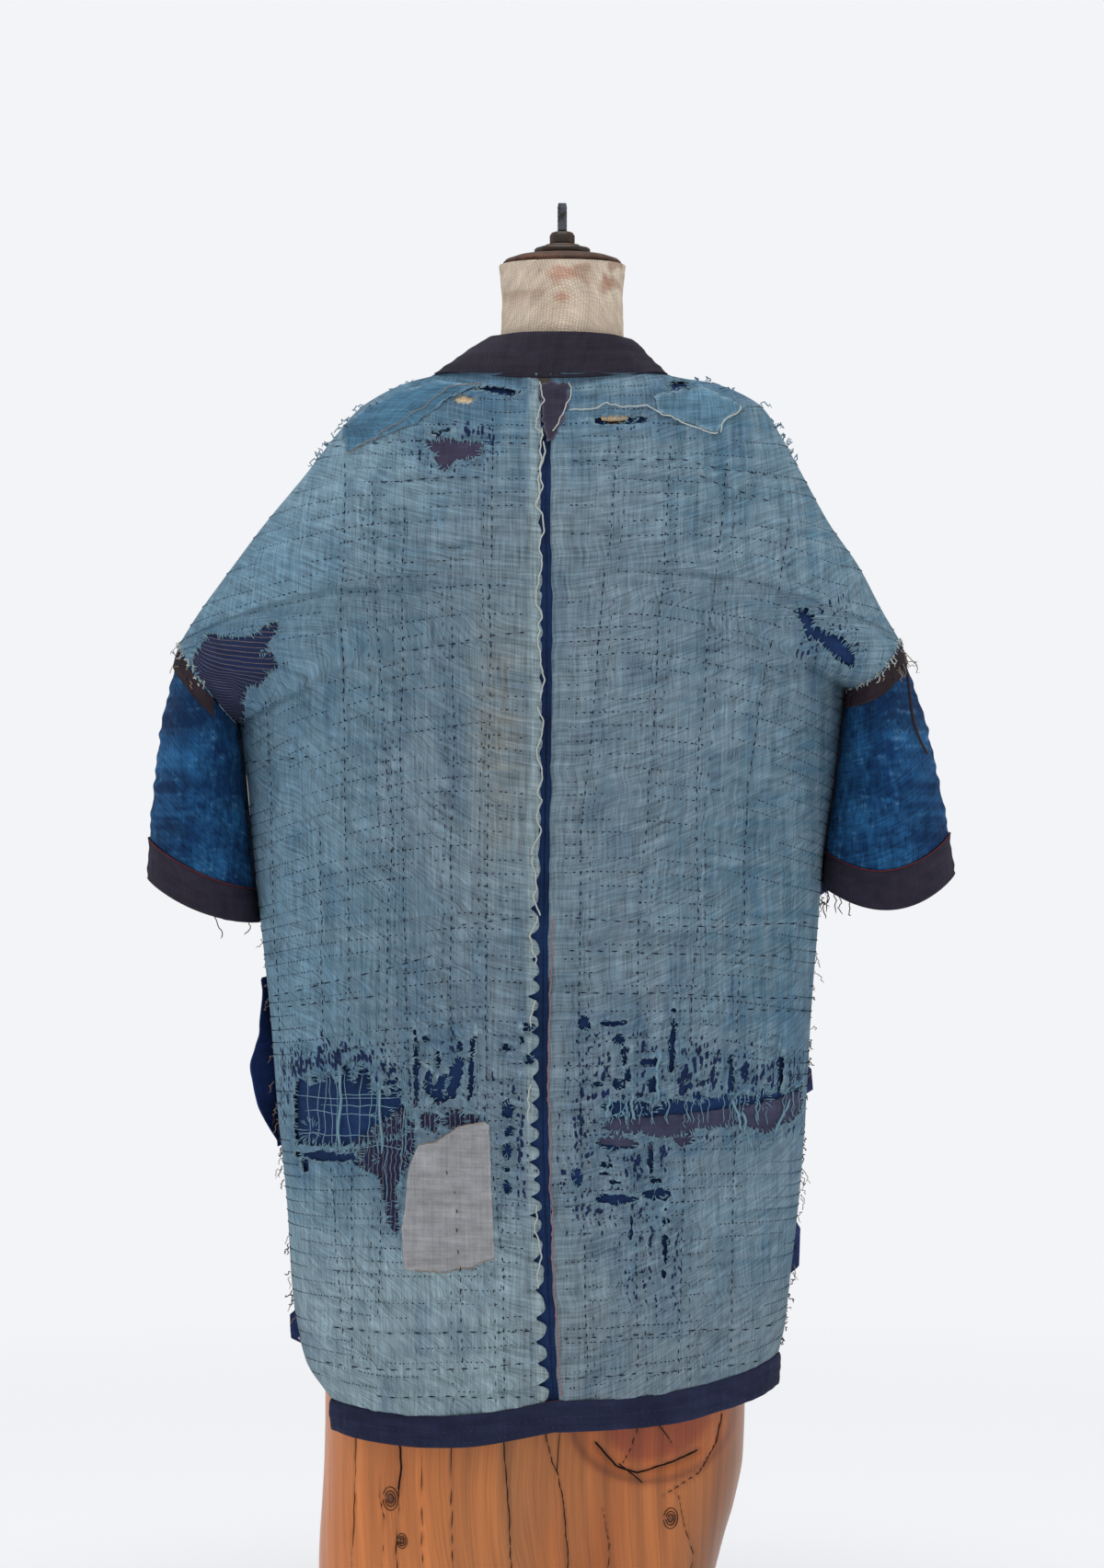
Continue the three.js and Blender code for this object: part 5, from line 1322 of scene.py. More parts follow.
def crossing(lines, points=9, lift=-0.7):
    """Wavy strands between two places each: (x, z, x, z)."""
    share = np.linspace(0, 1, points)
    lines = np.array(lines, float)
    waves = np.cumsum((rng.random((len(lines), points)) - 0.5) * 3.4, axis=1)
    waves -= waves[:, :1] + (waves[:, -1:] - waves[:, :1]) * share
    x = lines[:, 0:1] + (lines[:, 2:3] - lines[:, 0:1]) * share
    z = lines[:, 1:2] + (lines[:, 3:4] - lines[:, 1:2]) * share
    upright_line = np.abs(lines[:, 3] - lines[:, 1]) > np.abs(lines[:, 2] - lines[:, 0])
    x, z = x + waves * upright_line[:, None], z + waves * ~upright_line[:, None]
    height = lift + 0.7 * (1 - np.sin(np.pi * share)) * np.ones_like(x)
    return on_back(x.ravel(), z.ravel(), height.ravel())[0].reshape(len(lines), points, 3)


print("threads of raw edges start at", len(ROUND_RIPS) + len(POLYGON_RIPS), "rips")

# %% [markdown]
# Where the worn cloth broke, its warp still hangs across the gap in loose strands, broad ones of several yarns and
# fine single ones. Curves with a bevel would do for a few; as arrays they all become one light mesh.

# %% Strands over the rips
edge_fringe = strands("rip_fringe", fringe(), 0.32, 0.22, THREADS["blue"])
wide_lines = [(181, 512, 180, 440), (148, 508, 146, 440), (-150, 486, -158, 458), (-158, 474, -166, 442),
              (-201, 482, -186, 453), (-87, 528, -86, 486), (-66, 492, -67, 470), (-45, 490, -43, 472)]
wide_strands = strands("wide_strands", crossing(wide_lines), 1.3, 0.4, THREADS["blue"])
fine_lines = [(x, 508, x + 8 * rng.random() - 4, 440) for x in 124 + 94 * rng.random(13)]
for z in 444 + 54 * rng.random(6):
    fine_lines.append((122 + 50 * rng.random(), z, 222 - 50 * rng.random(), z + 6 * rng.random() - 3))
fine_lines += [(x, 490, x, 466) for x in -210 + 174 * rng.random(34)]
fine_lines += [(x, 474, x, 462) for x in (-180, -172, -120, -110, -60)]
fine_lines += [(x, 446, x + 2, 400) for x in (128, 140)]
fine_strands = strands("fine_strands", crossing(fine_lines), 0.35, 0.25, THREADS["blue"])
print("fringe and strands ready")

# %% [markdown]
# Long threads have come loose over the scalloped border, beside the seam, round the neck patch and along the yoke.
# Each is a strand over a few given places, with a wavering path in place of a drawn curve.

# %% Laid threads
LINE_POINTS = 60


def laid(name, lines, radius, material, wave=1.0, pitch=9.0, lift=1.0):
    pieces = []
    for number, line in enumerate(lines):
        line = np.array(line, float)
        run = run_of(line)
        at = np.linspace(0, run[-1], LINE_POINTS)
        spot, rows = follow(line, run, at), number + 0 * at
        tangent = np.gradient(spot, axis=0)
        tangent /= np.linalg.norm(tangent, axis=1, keepdims=True) + 1e-9
        sway = 4.5 * wave * (noise(at, rows, pitch, 1, 131) - 0.5)
        sway += 2.0 * wave * (noise(at, rows, pitch / 3, 1, 133) - 0.5)
        spot = spot + np.stack([tangent[:, 1], -tangent[:, 0]], 1) * sway[:, None]
        rise = lift + 0.8 * noise(at, rows, 5, 1, 132)
        pieces.append(on_back(spot[:, 0], spot[:, 1], rise)[0])
    return strands(name, np.array(pieces), radius, radius * 0.8, material)


BORDER_LINES = [
    [(14, 1052), (12, 1000), (13, 940)], [(11, 1040), (15, 985)], [(13, 940), (15, 880), (13, 820)],
    [(14, 815), (12, 750), (15, 690)], [(16, 690), (13, 640)], [(17, 640), (19, 600)], [(20, 570), (22, 548)],
    [(20, 500), (22, 470)], [(17, 400), (14, 330)],
]
SEAM_LINES = [[(2, 640), (4, 560)], [(5, 560), (5, 480)], [(5, 480), (3, 400)], [(3, 400), (0, 320)],
              [(-1, 320), (-5, 240)]]
NECK_LINES = [
    [(15, 1093), (10, 1076), (16, 1060), (11, 1044)], [(-11, 1093), (-13, 1078), (-5, 1062), (1, 1048)],
    [(-12, 1066), (-44, 1072), (-83, 1068), (-110, 1057), (-139, 1049)], [(-140, 1049), (-147, 1060), (-160, 1074)],
]
PATCH_LINES = [
    [(176, 1031), (127, 1061), (89, 1088), (62, 1093)], [(114, 448), (100, 451), (89, 458), (82, 464), (59, 469)],
    [(50, 356), (68, 348), (96, 343), (117, 344)],
]
border_threads = laid("border_threads", BORDER_LINES, 0.65, THREADS["pale"], 1.6, 17)
seam_thread = laid("seam_thread", SEAM_LINES, 0.5, THREADS["pink"], 0.5, 6, 0.7)
neck_threads = laid("neck_patch_threads", NECK_LINES, 0.55, THREADS["pale"], 1.0, 11)
patch_threads = laid("patch_edge_threads", PATCH_LINES, 0.35, THREADS["tan"], 0.5, 7, 1.4)
print("laid threads ready")

# %% [markdown]
# At slits and cuffs, threads hang free: they leave the edge outwards and then fall, with a curl. A simulation would
# settle them alike; a random walk keeps each one different.

# %% Loose threads
def loose(starts, outwards, length, curl, points=9):
    """Curly paths that leave each start outwards and then fall."""
    count = len(starts)
    share = np.linspace(0, 1, points)[None, :, None]
    length = (length * (0.5 + rng.random(count)))[:, None, None]
    fall = np.array([0, 0, -1.0])
    out = outwards[:, None] * length * 0.2 * np.sin(share * np.pi / 2)
    path = starts[:, None] + out + fall * length * share ** 1.4
    waves = np.cumsum((rng.random((count, points, 3)) - 0.5) * curl, axis=1)
    return path + (waves - waves[:, :1])


def side_edge(side, face, v, lift=0.5):
    points, normals = skin(side, face, np.full(v.shape, 0.995), v, 0.0, lift)
    normals[:, 0] += side["sign"] * 0.8
    return points, normals / np.linalg.norm(normals, axis=1, keepdims=True)


def many(side, face, low, high, count, length, curl):
    v = low + (high - low) * np.sort(rng.random(count))
    return loose(*side_edge(side, face, v), length, curl)


dark_frays = np.concatenate([many(LEFT, BACK, 0.43, 0.5, 6, 7, 3), many(LEFT, BACK, 0.7, 0.78, 8, 7, 3),
                             many(LEFT, BACK, 0.84, 0.93, 8, 6, 3), many(RIGHT, BACK, 0.4, 0.5, 10, 9, 4),
                             many(RIGHT, BACK, 0.58, 0.8, 18, 5, 3), many(RIGHT, BACK, 0.85, 0.99, 8, 5, 3)])
fray_knots = strands("dark_frays", dark_frays, 0.5, 0.4, THREADS["brown"])
print("dark frays:", len(dark_frays))

# %% [markdown]
# Rags are torn ends of the side strips that stick out past the edge. Small curled meshes would do, but as sheets on
# the body's own surface they start where the strip was sewn on.

# %% Rags
RAGS = {  # side, from level, to level, how far out, how much of it stays
    "rag_right_low": (RIGHT, 0.83, 0.895, 8, 0.30), "rag_right_tear": (RIGHT, 0.655, 0.69, 7, 0.36),
    "rag_right_high": (RIGHT, 0.415, 0.465, 9, 0.40), "rag_left_low": (LEFT, 0.912, 0.946, 9, 0.22),
}
for name, (side, first, last, far, keep) in RAGS.items():
    def rag_place(u, v, side=side, first=first, last=last, far=far):
        level = first + (last - first) * v
        points, normals = skin(side, BACK, 0.975 + 0.025 * u, level, 0.0, -1.2, 0.0)
        swell = np.clip(6 * np.minimum(v, 1 - v), 0, 1) * (0.6 + 0.5 * v)
        points[..., 0] += side["sign"] * far * u ** 1.5 * swell
        points[..., 1] -= 3 * u + 2.5 * (noise(u * 12, v * 60, 5, 9, 141) - 0.5)
        return points, normals

    def rag_level(points, keep=keep):
        return 4.5 * (noise(points[..., 0], points[..., 2], 5, 5, 142) - 0.5 + keep)

    cloth(name, 14, 44, rag_place, "indigo_cloth", plain_dye("#25335C", 0.7), rag_level, thick=0.8)

# %% [markdown]
# More frays at sides, cuffs, armholes, hem and yoke. Hair particles could scatter them, but paths from seeded
# numbers are plain meshes and the same in every run.

# %% Threads at sleeves, hem and yoke
pale_frays = np.concatenate([many(LEFT, BACK, 0.45, 0.95, 26, 7, 4), many(RIGHT, BACK, 0.42, 0.97, 30, 7, 4)])
pale_ends = strands("pale_frays", pale_frays, 0.35, 0.3, THREADS["tan"])


def mouth(side, turns, share=1.0):
    """Starts and directions of threads round a sleeve, at its mouth or at a share of its length."""
    turns = np.array(turns, float)
    grid = sleeve_points(side, np.stack([turns, turns + 0.02], 1), np.full((len(turns), 2), share))
    return grid[:, 0], np.tile([side["sign"] * 0.2, 0.5, 0.0], (len(turns), 1))


cuff_paths = np.concatenate([loose(*mouth(RIGHT, [2.2, 2.4, 2.5, 2.9]), 17, 4),
                             loose(*mouth(LEFT, [1.9, 2.6, 3.0]), 12, 4)])
cuff_ends = strands("cuff_threads", cuff_paths, 0.45, 0.4, THREADS["brown"])
band_paths = np.concatenate([loose(*mouth(RIGHT, np.linspace(-0.5, 1.3, 20), 0.06), 12, 6),
                             loose(*mouth(LEFT, np.linspace(-0.6, 1.2, 14), 0.05), 8, 5)])
band_ends = strands("armhole_threads", band_paths, 0.4, 0.35, THREADS["tan"])
cord_path = sleeve_points(RIGHT, 0.55 + 0.25 * np.sin(np.linspace(0, 3, 24)), np.linspace(0.1, 0.46, 24))
cord = strands("armhole_cord", (cord_path + (-1.2, 2.2, 0))[None], 1.1, 0.9, THREADS["brown"])
ring_u, ring_v = np.meshgrid(np.linspace(0, 1, 120), [0.0, 1.0])
seam_rings = np.array([sleeve_place(side, CUFF_SHARE, CUFF_SHARE + 0.01, 1.6)(ring_u, ring_v)[0][0]
                       for side in SIDES])
cuff_seams = strands("cuff_seam_threads", seam_rings, 0.7, 0.6, THREADS["red"])
torn_paths = np.concatenate([loose(*mouth(RIGHT, np.linspace(-0.6, 2.9, 90), 0.0), 5, 3),
                             loose(*mouth(LEFT, np.linspace(-0.6, 1.6, 60), 0.0), 4, 3)])
torn_ends = strands("armhole_fringe", torn_paths, 0.4, 0.3, THREADS["pale"])
hem_at = np.linspace(0.02, 0.98, 78)[None].repeat(2, 0) + np.array([[0.0], [0.005]])
hem_rows = [back_hem_place(hem_at, np.full(hem_at.shape, share)) for share in (0.5, 0.84)]
hem_starts, hem_ends = (np.concatenate([points[k] + out[k] * 0.5 for points, out in hem_rows]) for k in (0, 1))
hem_stitches = grains("hem_dashes", hem_starts, hem_ends, np.concatenate([out[0] for points, out in hem_rows]),
                      0.6, 0.4, THREADS["dull"])
yoke_paths = np.concatenate([many(side, BACK, 0.006, 0.06, 22, 6, 6) for side in SIDES])
yoke_ends = strands("yoke_frays", yoke_paths, 0.55, 0.4, THREADS["blue"])
print("loose threads:", len(dark_frays) + len(pale_frays) + len(torn_paths))

# %% [markdown]
# What the left and right halves were cut to, in metres: 0.31 and 0.30 wide. The loops go through them and through
# each side's sleeve, cuff and band, but do nothing with them.

# %% Cloth sheets
for side, width in ((LEFT, 0.31), (RIGHT, 0.30)):
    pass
for index, side in enumerate(SIDES):
    sleeve, cuff, band = sleeves[3 * index:3 * index + 3]

# %% [markdown]
# ## Dress form
# Ribbed jersey is pulled over a moulded bust, and has worn and flaked at the neck. A lofted curve could make the
# bust, but the sheet builder gives it the same lengths and dyes as the jacket, from one table of sections.

# %% Form
FORM_X, FORM_FOOT_Z, NECK_TOP_Z = -6.5, 384.3, 1200
FORM = [(FORM_FOOT_Z, 150, 98), (430, 158, 106), (500, 160, 108), (580, 146, 100), (660, 130, 90), (740, 137, 94),
        (820, 152, 100), (900, 166, 102), (960, 177, 96), (1010, 183, 86), (1040, 181, 74), (1060, 174, 65),
        (1073, 160, 58), (1084, 136, 54), (1090, 104, 52), (1100, 74, 51), (1114, 59, 50), (1132, 54, 49),
        (1165, 52.5, 49), (1190, 54, 50), (1200, 55, 51)]


FORM_POWER = 2.2  # 2 is an ellipse, more is squarer
NECK_STAINS = ((-6, 1188, 22, 12, "#D3A28C"), (-6, 1168, 11, 7, "#C2917C"), (-44, 1180, 8, 16, "#B98F78"))


def squared(value, power):
    return np.sign(value) * np.abs(value) ** (2 / power)


def form_place(u, v):
    turn = 2 * np.pi * u - np.pi / 2
    z = FORM_FOOT_Z + (NECK_TOP_Z - FORM_FOOT_Z) * (1 - (1 - np.clip(v, 0, 1)) ** 1.4)
    half_width, half_depth = smooth(FORM, 1, z), smooth(FORM, 2, z)
    cos, sin = squared(np.cos(turn), FORM_POWER), squared(np.sin(turn), FORM_POWER)
    points = np.stack([FORM_X + half_width * cos, half_depth * sin, z], -1)
    normals = with_directions(points, 1)
    rise = 0.7 * (noise(60 * turn, z, 9, 14, 101) - 0.5) + 0.5 * (noise(60 * turn, z, 30, 5, 102) - 0.5)
    return points + normals * rise[..., None], normals


def form_dye(points, away):
    x, y, z = points[..., 0], points[..., 1], points[..., 2]
    tint = np.broadcast_to(colour("#E9D7C2"), x.shape + (3,))
    tint = blend(tint, colour("#C9B49E"), 0.7 * noise(x + y, z, 14, 22, 103))
    tint = blend(tint, colour("#B08C76"), 0.7 * ease(0.66, 0.85, noise(x + y, z, 16, 9, 104)) * ease(1150, 1190, z))
    for cx, cz, wide, tall, code in NECK_STAINS:
        spot = ellipse(x, z, cx, cz, wide, tall) + 3 * (noise(x, z, 4, 4, 105) - 0.5)
        tint = blend(tint, colour(code), 0.8 * ease(1.5, -1, spot) * (y > 0))
    return tint, 0.2 * ease(1150, 1195, z)


form = cloth("form_jersey", 110, 150, form_place, "form_jersey", form_dye)
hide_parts("form_torso")
print("form faces:", len(form.data.polygons))

# %% [markdown]
# The iron fittings are cast, handled until they turned dark brown, and rusted in spots, which makes them half dull.
# The cap is sheet iron, japanned: baked brown lacquer, smoother and less metallic. Spots of about 11 mm carry rust.

# %% Metal
def metal_material(name, base_code, rust_code, metallic, rough):
    material, tree, shader = new_material(name)
    spots = streaks(tree, add(tree, "TexCoord", out="Object"), (90, 90, 90), 5.0, 0.65)
    shade = add(tree, "Mix", {0: ramp(tree, spots, 0.46, 6), MIX_A: (*colour(base_code), 1),
                              MIX_B: (*colour(rust_code), 1)}, MIX_RESULT, data_type="RGBA")
    tree.links.new(shade, shader.inputs["Base Color"])
    shader.inputs["Metallic"].default_value = metallic
    tree.links.new(weighted(tree, (spots, 0.3), plus=rough), shader.inputs["Roughness"])
    relief = add(tree, "Bump", {"Strength": 0.4, "Distance": 0.0006, "Height": spots})
    tree.links.new(relief, shader.inputs["Normal"])
    return material


IRON = metal_material("rusted_cast_iron", "#4A4541", "#5C4030", 0.7, 0.35)
CAP_METAL = metal_material("japanned_sheet_iron", "#4A372F", "#6B4A3A", 0.25, 0.4)
print("metals:", IRON.name, "and", CAP_METAL.name)

# %% [markdown]
# The fittings were turned or cast round. Each is its profile, spun about the form's axis: a lathe's own way, and
# lighter than a cylinder cut and scaled ring by ring. A slight wobble and a bevel keep them from looking new.

# %% Turned fittings
def turned(name, profile, material, node, sides=64, wobble=0.0):
    """profile: radius and height above the neck's top, from the middle round to the middle."""
    bm = bmesh.new()
    ring = [bm.verts.new(((FORM_X + radius) * MM, 0, (NECK_TOP_Z + height) * MM)) for radius, height in profile]
    edges = [bm.edges.new(pair) for pair in zip(ring, ring[1:])]
    bmesh.ops.spin(bm, geom=ring + edges, cent=(FORM_X * MM, 0, 0), axis=(0, 0, 1), angle=2 * math.pi, steps=sides,
                   use_merge=True)
    bmesh.ops.remove_doubles(bm, verts=bm.verts, dist=1e-6)
    bmesh.ops.recalc_face_normals(bm, faces=bm.faces)
    for vert in bm.verts:
        x, y = vert.co.x / MM - FORM_X, vert.co.y / MM
        swell = 1 + wobble * math.cos(6 * math.atan2(y, x) + 0.4)
        vert.co.x, vert.co.y = (FORM_X + x * swell) * MM, y * swell * MM
    piece = finish_mesh(name, bm, material)
    bevel = piece.modifiers.new("Worn edges", "BEVEL")
    bevel.width, bevel.segments, bevel.limit_method, bevel.angle_limit = 0.0005, 2, "ANGLE", math.radians(35)
    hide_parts(node)
    return piece


fittings = [
    turned("neck_cap", [(0, 0.3), (50, 0.3), (51.5, 1.2), (51.5, 3), (49, 5.4), (40, 8.5), (26, 10.5), (0, 10.6)],
           CAP_METAL, "form_neck_cap"),
    turned("neck_flange", [(0, 10.9), (23, 10.9), (23.6, 12), (23.6, 14.5), (22, 16.2), (15, 17.5), (14, 19),
                           (0, 19)], IRON, "form_flange", wobble=0.035),
    turned("neck_nut", [(0, 19.3), (9.6, 19.3), (10.4, 20.5), (10.4, 26.5), (8.6, 29.5), (5.2, 30.5), (0, 30.6)],
           IRON, "form_nut", sides=24, wobble=0.06),
]
print("fittings:", [piece.name for piece in fittings])

# %% [markdown]
# The spindle is a forged square bar with rounded edges and a slightly smaller head. A cube, cut across and drawn in
# ring by ring, keeps its corners, which a spun profile couldn't.

# %% Spindle
SPINDLE_SIDE, SPINDLE_FOOT, SPINDLE_HEIGHT = 8, 30.9, 24.1
bm = bmesh.new()
bmesh.ops.create_cube(bm, size=1)
bmesh.ops.subdivide_edges(bm, edges=[e for e in bm.edges if abs(e.verts[0].co.z - e.verts[1].co.z) > 0.5], cuts=16)
for vert in bm.verts:
    height = vert.co.z + 0.5
    side_length = SPINDLE_SIDE - 1.2 * float(ease(0.86, 1, height)) + 0.3 * math.sin(height * 40)
    vert.co.x, vert.co.y = (FORM_X + vert.co.x * side_length) * MM, vert.co.y * side_length * MM
    vert.co.z = (NECK_TOP_Z + SPINDLE_FOOT + SPINDLE_HEIGHT * height) * MM
STEEL = metal_material("worn_forged_steel", "#5E636B", "#3F3A38", 0.6, 0.3)
spindle = finish_mesh("neck_spindle", bm, STEEL, smooth_faces=False)
round_edges = spindle.modifiers.new("Round edges", "BEVEL")
round_edges.width, round_edges.segments = 0.0009, 3
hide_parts("form_spindle")
print("spindle:", [round(value, 4) for value in spindle.dimensions])

# %% [markdown]
# ## Stump
# A trunk cut flat at both ends, with knots, a whorl and long drying cracks. Sculpting would give one shape only;
# sections with squared corners, soft bulges and cracks as short lines can be moved one by one.

# %% Stump shape
STUMP = [
    (0, 204, -120, 108), (70, 205, -139, 112), (100, 204, -147, 114), (130, 202, -156, 116), (170, 200, -164, 118),
    (220, 199, -166, 118), (300, 199, -166, 117), (374, 197, -164, 115), (384, 192, -159, 111),
]
KNOTS = [(139, 146, 5.5), (129, 111, 3.5), (-98, 129, 5), (60, 60, 5), (-60, 320, 6)]
CHECKS = [  # open cracks on the side that shows: points (x, z) and half their width
    ([(131, 196), (130, 174), (132, 154)], 1.8), ([(132, 156), (131, 138), (133, 128), (134, 96), (130, 40)], 0.7),
    ([(146, 166), (148, 146), (144, 128), (146, 100)], 0.5), ([(87, 200), (87, 150), (86, 95), (88, 20)], 0.6),
    ([(43, 200), (39, 146), (37, 97), (38, 40)], 1.0),
    ([(10, 214), (2, 180), (-3, 170), (-8, 139), (-11, 97), (-8, 30)], 0.9), ([(-5, 214), (-3, 189), (-2, 172)], 0.6),
    ([(-34, 197), (-51, 177), (-69, 170), (-98, 177), (-121, 186)], 1.8), ([(-54, 178), (-64, 170), (-74, 161)], 1.1),
    ([(-71, 212), (-64, 190), (-57, 178)], 0.7), ([(-84, 214), (-92, 204), (-99, 193)], 0.8),
    ([(-143, 214), (-138, 190), (-123, 166), (-92, 150)], 0.7),
    ([(-104, 150), (-110, 120), (-118, 96), (-112, 60)], 0.6), ([(-40, 140), (-46, 110), (-44, 60)], 0.5),
    ([(168, 230), (170, 150), (174, 60)], 0.5), ([(112, 190), (112, 120), (110, 60)], 0.4),
]
STUMP_TOP_Z, STUMP_MIDDLE_Y, STUMP_POWER = 384, 4, 2.3
UNDERSIDE_END, TOP_START = 0.05, 0.88  # of v: the flat underside, then the side, then the flat top
SHOWN_Y = 20  # cracks and knots are only on the side behind this


def bulges(x, y, z):
    return 3.0 * (noise(x + y * 0.7, z, 60, 110, 111) - 0.6)


def stump_place(u, v):
    """From the middle of the underside up the side to the middle of the top."""
    turn = 2 * np.pi * (u + 0.09 * np.sin(2 * np.pi * u)) - np.pi / 2
    z = STUMP_TOP_Z * np.clip((v - UNDERSIDE_END) / 0.83, 0, 1)
    inwards = np.where(v < UNDERSIDE_END, v / UNDERSIDE_END, np.where(v > TOP_START, (1 - v) / 0.12, 1))
    left, right, half_depth = (smooth(STUMP, column, z) for column in (1, 2, 3))
    cos, sin = squared(np.cos(turn), STUMP_POWER), squared(np.sin(turn), STUMP_POWER)
    x, y = (left + right) / 2 + (left - right) / 2 * cos * inwards, STUMP_MIDDLE_Y + half_depth * sin * inwards
    points = np.stack([x, y, z], -1)
    outwards = np.stack([cos / (left - right), sin / (2 * half_depth), 0 * z], -1)
    outwards /= np.linalg.norm(outwards, axis=-1, keepdims=True) + 1e-9
    rise = bulges(x, y, z) - check_depth(points)
    side_only = ease(UNDERSIDE_END, 0.07, v) * ease(TOP_START, 0.86, v)
    return points + outwards * (rise * side_only)[..., None], outwards


def check_depth(points):
    x, y, z = (points[..., k] for k in range(3))
    depth = np.zeros(x.shape)
    for line, width in CHECKS:
        for (x0, z0), (x1, z1) in zip(line, line[1:]):
            off = beside(x, z, x0, z0, x1, z1)[1] + 0.8 * (noise(x, z, 4, 12, 112) - 0.5)
            depth = np.maximum(depth, 1.2 * np.exp(-((off / (1.6 * width)) ** 2)) * (y > SHOWN_Y))
    for cx, cz, radius in KNOTS:
        off = np.hypot(x - cx, z - cz) / radius
        ring = 1.2 * np.exp(-(off ** 2)) - 0.9 * np.exp(-((off - 1.6) ** 2) * 3)
        depth = np.maximum(depth, ring * (y > SHOWN_Y))
    return depth


def stump_colour_and_painted_light(points, away):
    x, y, z = (points[..., k] for k in range(3))
    behind = ease(-30, 30, y)
    tint = np.broadcast_to(colour("#B4622A"), x.shape + (3,))
    tint = blend(tint, colour("#D4884A"), 0.9 * noise(x + y, z, 34, 200, 113))
    tint = blend(tint, colour("#8A5A35"), 0.7 * np.exp(-(((x - 30) / 46) ** 2)) * noise(x, z, 18, 120, 114) * behind)
    # Painted shade: the -x side, turned away from the key lamp, is darkened.
    tint = blend(tint, colour("#7E4A22"), 0.8 * ease(-105, -150, x + 0.25 * (z - 150)) * behind)
    whorl = np.hypot((x + 84) / 62, (z - 214) / 46)
    tint = blend(tint, colour("#B95F24"), 0.7 * ease(1.35, 1.0, whorl) * behind)
    tint = blend(tint, colour("#9C4524"), 0.85 * ease(0.95, 0.7, whorl + 0.2 * noise(x, z, 14, 14, 115)) * behind)
    tint = blend(tint, colour("#6B3416"), 0.6 * np.exp(-(((whorl - 1.12) / 0.07) ** 2)) * behind)
    # Painted light: the +x side, which faces the key lamp, is made up to 22 % lighter.
    tint = tint * (1 + 0.22 * ease(20, 170, x))[..., None]
    # Painted shade: darker where the relief sinks into cracks and knot centres.
    tint = blend(tint, colour("#5A3018"), 0.5 * np.clip(check_depth(points) / 1.3, 0, 1))
    for cx, cz, radius in KNOTS:
        spot = np.exp(-((np.hypot(x - cx, z - cz) / radius) ** 2))
        tint = blend(tint, colour("#5B2F18"), 0.8 * spot * (y > SHOWN_Y))
    return tint, 0.0


print("stump checks:", len(CHECKS), "knots:", len(KNOTS))

# %% [markdown]
# The trunk is stained and waxed, so it is orange brown and shines softly. Its fibres are streaks of 2 by 110 mm in
# the stump's own lengths, drawn coarser than real ones of 0.3 mm to show, and bent a little as if by knots.

# %% Stump wood
wood, tree, shader = new_material("waxed_wood")
lengths = add(tree, "UVMap", uv_map="cloth_lengths")
aside = add(tree, "VectorMath", {0: streaks(tree, lengths, (9, 4, 1), 1.0, out=1), 1: (0.02, 0, 0)},
            operation="MULTIPLY")
bent = add(tree, "VectorMath", {0: lengths, 1: aside}, operation="ADD")
fibres = streaks(tree, bent, (520, 9, 1), 4.0, 0.62)
bands = streaks(tree, bent, (80, 2.5, 1), 3.0, 0.55)
tone = weighted(tree, (fibres, 0.9), (bands, 1.1), plus=0.02)
tinted = add(tree, "VectorMath", {0: add(tree, "VertexColor", layer_name="dye_and_painted_light"), 1: tone}, operation="MULTIPLY")
tree.links.new(tinted, shader.inputs["Base Color"])
shader.inputs["Roughness"].default_value = 0.34
shader.inputs["Specular IOR Level"].default_value = 0.45
relief = add(tree, "Bump", {"Strength": 0.35, "Distance": 0.0008, "Height": fibres})
tree.links.new(relief, shader.inputs["Normal"])
stump = cloth("stump_wood", 240, 150, stump_place, "stump_wood", stump_colour_and_painted_light, material=wood)
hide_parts("stump")
print("stump faces:", len(stump.data.polygons))

# %% [markdown]
# Drying opened the wood in cracks, and each knot has dark rings. The relief alone is too soft to read as a gap, so
# dark strands of uneven width lie almost level with the wood: in the cracks they are painted shade, round the knots
# the rings' own colour.

# %% Cracks
def on_stump(x, z):
    left, right, half_depth = (smooth(STUMP, column, z) for column in (1, 2, 3))
    across = np.clip((x - (left + right) / 2) / ((left - right) / 2), -1, 1)
    y = STUMP_MIDDLE_Y + half_depth * (1 - np.abs(across) ** STUMP_POWER) ** (1 / STUMP_POWER)
    rise = bulges(x, y, z) - check_depth(np.stack([x, y, z], -1))
    return np.stack([x, y + rise + 0.25, z], -1)


crack_paths, crack_widths = [], []
for line, width in CHECKS:
    line = np.array(line, float)
    run = run_of(line)
    at = np.linspace(0, run[-1], LINE_POINTS)
    spot = follow(line, run, at)
    spot += 1.2 * np.stack([noise(at, width + 0 * at, size, 1, 116) - 0.5 for size in (9, 11)], 1)
    crack_paths.append(on_stump(spot[:, 0], spot[:, 1]))
    crack_widths.append(0.42 * width + 0.1)
for cx, cz, radius in KNOTS[:3]:
    for share in (0.55, 1.0, 1.5):
        turn = np.linspace(0.3, 2 * np.pi - 0.1, LINE_POINTS)
        wide, tall = 0.8 * radius * share, 1.2 * radius * share
        crack_paths.append(on_stump(cx + wide * np.cos(turn), cz + tall * np.sin(turn)))
        crack_widths.append(0.32)
# Painted shade: the strands in the cracks stand for their shadow; the knot rings are the wood's own dark colour.
strands("stump_cracks", np.array(crack_paths), crack_widths, 0.5, thread_material("painted_crack_shade_and_knot_rings", "#24130C"))
print("cracks:", len(crack_paths))

# %% [markdown]
# ## Studio
# The room has a matt white paper floor that fades into the air, so that no wall stands on any side: a curved
# backdrop would hide the jacket from the front. Large round lamps keep the shadows soft.

# %% Floor and light
BACKDROP = (*colour("#F3F4F7"), 1)
FLOOR_RADIUS, FLOOR_GLOW = 30, 0.24
FADE_START, FADE_RATE = 0.8, 0.7  # in metres from the middle: the floor is gone 1.4 m further out


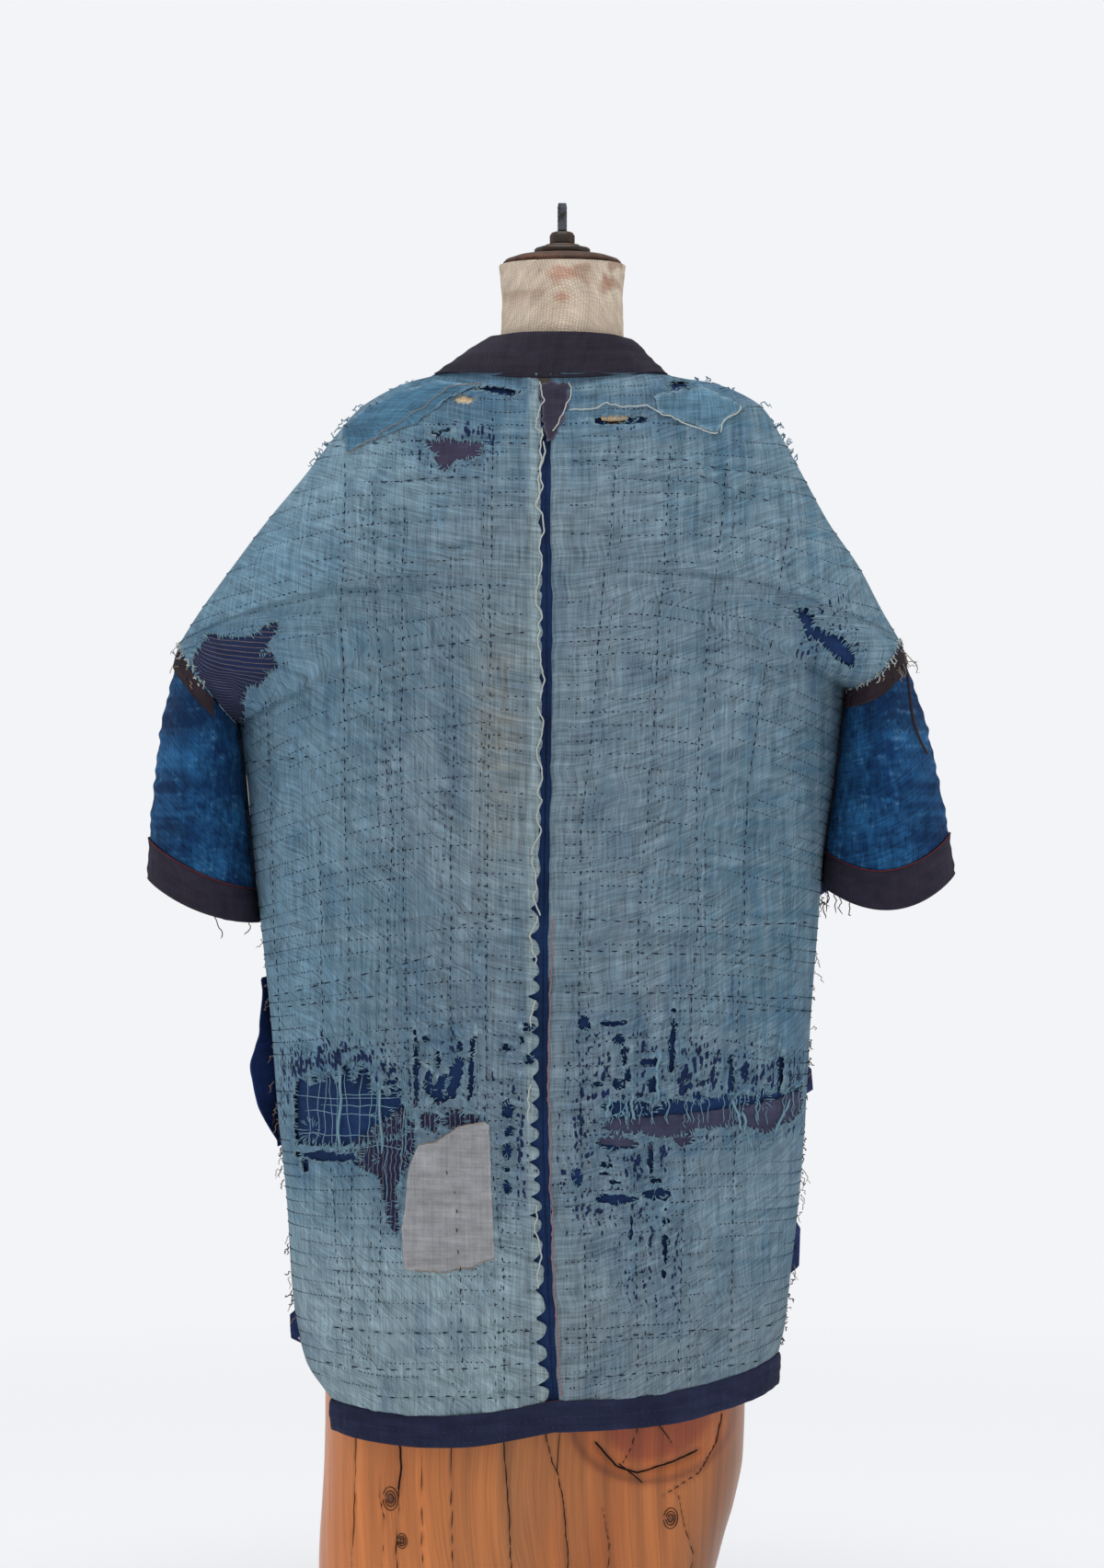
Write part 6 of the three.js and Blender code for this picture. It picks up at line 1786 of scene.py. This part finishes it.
def studio():
    material, tree, shader = new_material("matt_white_paper")
    shader.inputs["Base Color"].default_value = (*colour("#F1F2F4"), 1)
    shader.inputs["Roughness"].default_value = 1.0
    shader.inputs["Emission Color"].default_value = (1, 1, 1, 1)
    shader.inputs["Emission Strength"].default_value = FLOOR_GLOW
    away = add(tree, "VectorMath", {0: add(tree, "TexCoord", out="Object")}, "Value", operation="LENGTH")
    both = add(tree, "MixShader", {0: ramp(tree, away, FADE_START, FADE_RATE), 1: shader.outputs[0],
                                   2: add(tree, "Emission", {"Color": BACKDROP})})
    tree.links.new(both, tree.nodes["Material Output"].inputs[0])
    bm = bmesh.new()
    bmesh.ops.create_circle(bm, cap_ends=True, segments=64, radius=FLOOR_RADIUS)
    bmesh.ops.translate(bm, verts=bm.verts, vec=(0, 0, -0.0005))
    floor = finish_mesh("studio_floor", bm, material)
    return floor


def area_light(name, place, aim, size, power):
    light = bpy.data.lights.new(name, "AREA")
    light.shape, light.size, light.energy = "DISK", size, power
    lamp = bpy.data.objects.new(name, light)
    bpy.context.scene.collection.objects.link(lamp)
    from_to = np.array(aim) - np.array(place)
    lamp.location = place
    lamp.rotation_euler = (math.acos(-from_to[2] / np.linalg.norm(from_to)), 0, math.atan2(from_to[0], -from_to[1]))
    return lamp


studio()
lamps = [area_light("key", (2.7, 2.0, 2.3), (0, 0, 0.7), 1.2, 112),
         area_light("fill", (-2.4, 2.2, 1.6), (0, 0, 0.7), 2.4, 14),
         area_light("top", (0.0, 0.3, 3.2), (0, 0, 0.6), 2.0, 30)]
print("lamps:", [lamp.name for lamp in lamps])

# %% [markdown]
# The air lights the jacket evenly from all round, as a white room does. Where the camera sees the air itself, it
# has the backdrop's colour, so that floor and air join without an edge.

# %% Air
world = bpy.data.worlds.new("studio_world")
bpy.context.scene.world = world
world.use_nodes = True
air = world.node_tree
light = air.nodes["Background"]
light.inputs["Color"].default_value, light.inputs["Strength"].default_value = (*colour("#FAFCFF"), 1), 0.56
either = add(air, "MixShader", {0: add(air, "LightPath", out="Is Camera Ray"), 1: light.outputs[0],
                                2: add(air, "Background", {"Color": BACKDROP})})
air.links.new(either, air.nodes["World Output"].inputs[0])
print("strength of the air's light:", round(light.inputs["Strength"].default_value, 2))

# %% [markdown]
# The camera stands behind the jacket, level with its middle, with a long lens so that the sides don't lean.

# %% Camera
camera_data = bpy.data.cameras.new("camera")
camera_data.lens, camera_data.sensor_width = 92.4, 36
camera = bpy.data.objects.new("camera", camera_data)
camera.location = (0.0024, 3.5, 0.75)
camera.rotation_euler = (math.radians(90), 0, math.radians(180))
scene = bpy.context.scene
scene.collection.objects.link(camera)
scene.camera = camera
scene.view_settings.view_transform = "Standard"
print("camera at", tuple(round(value, 3) for value in camera.location))
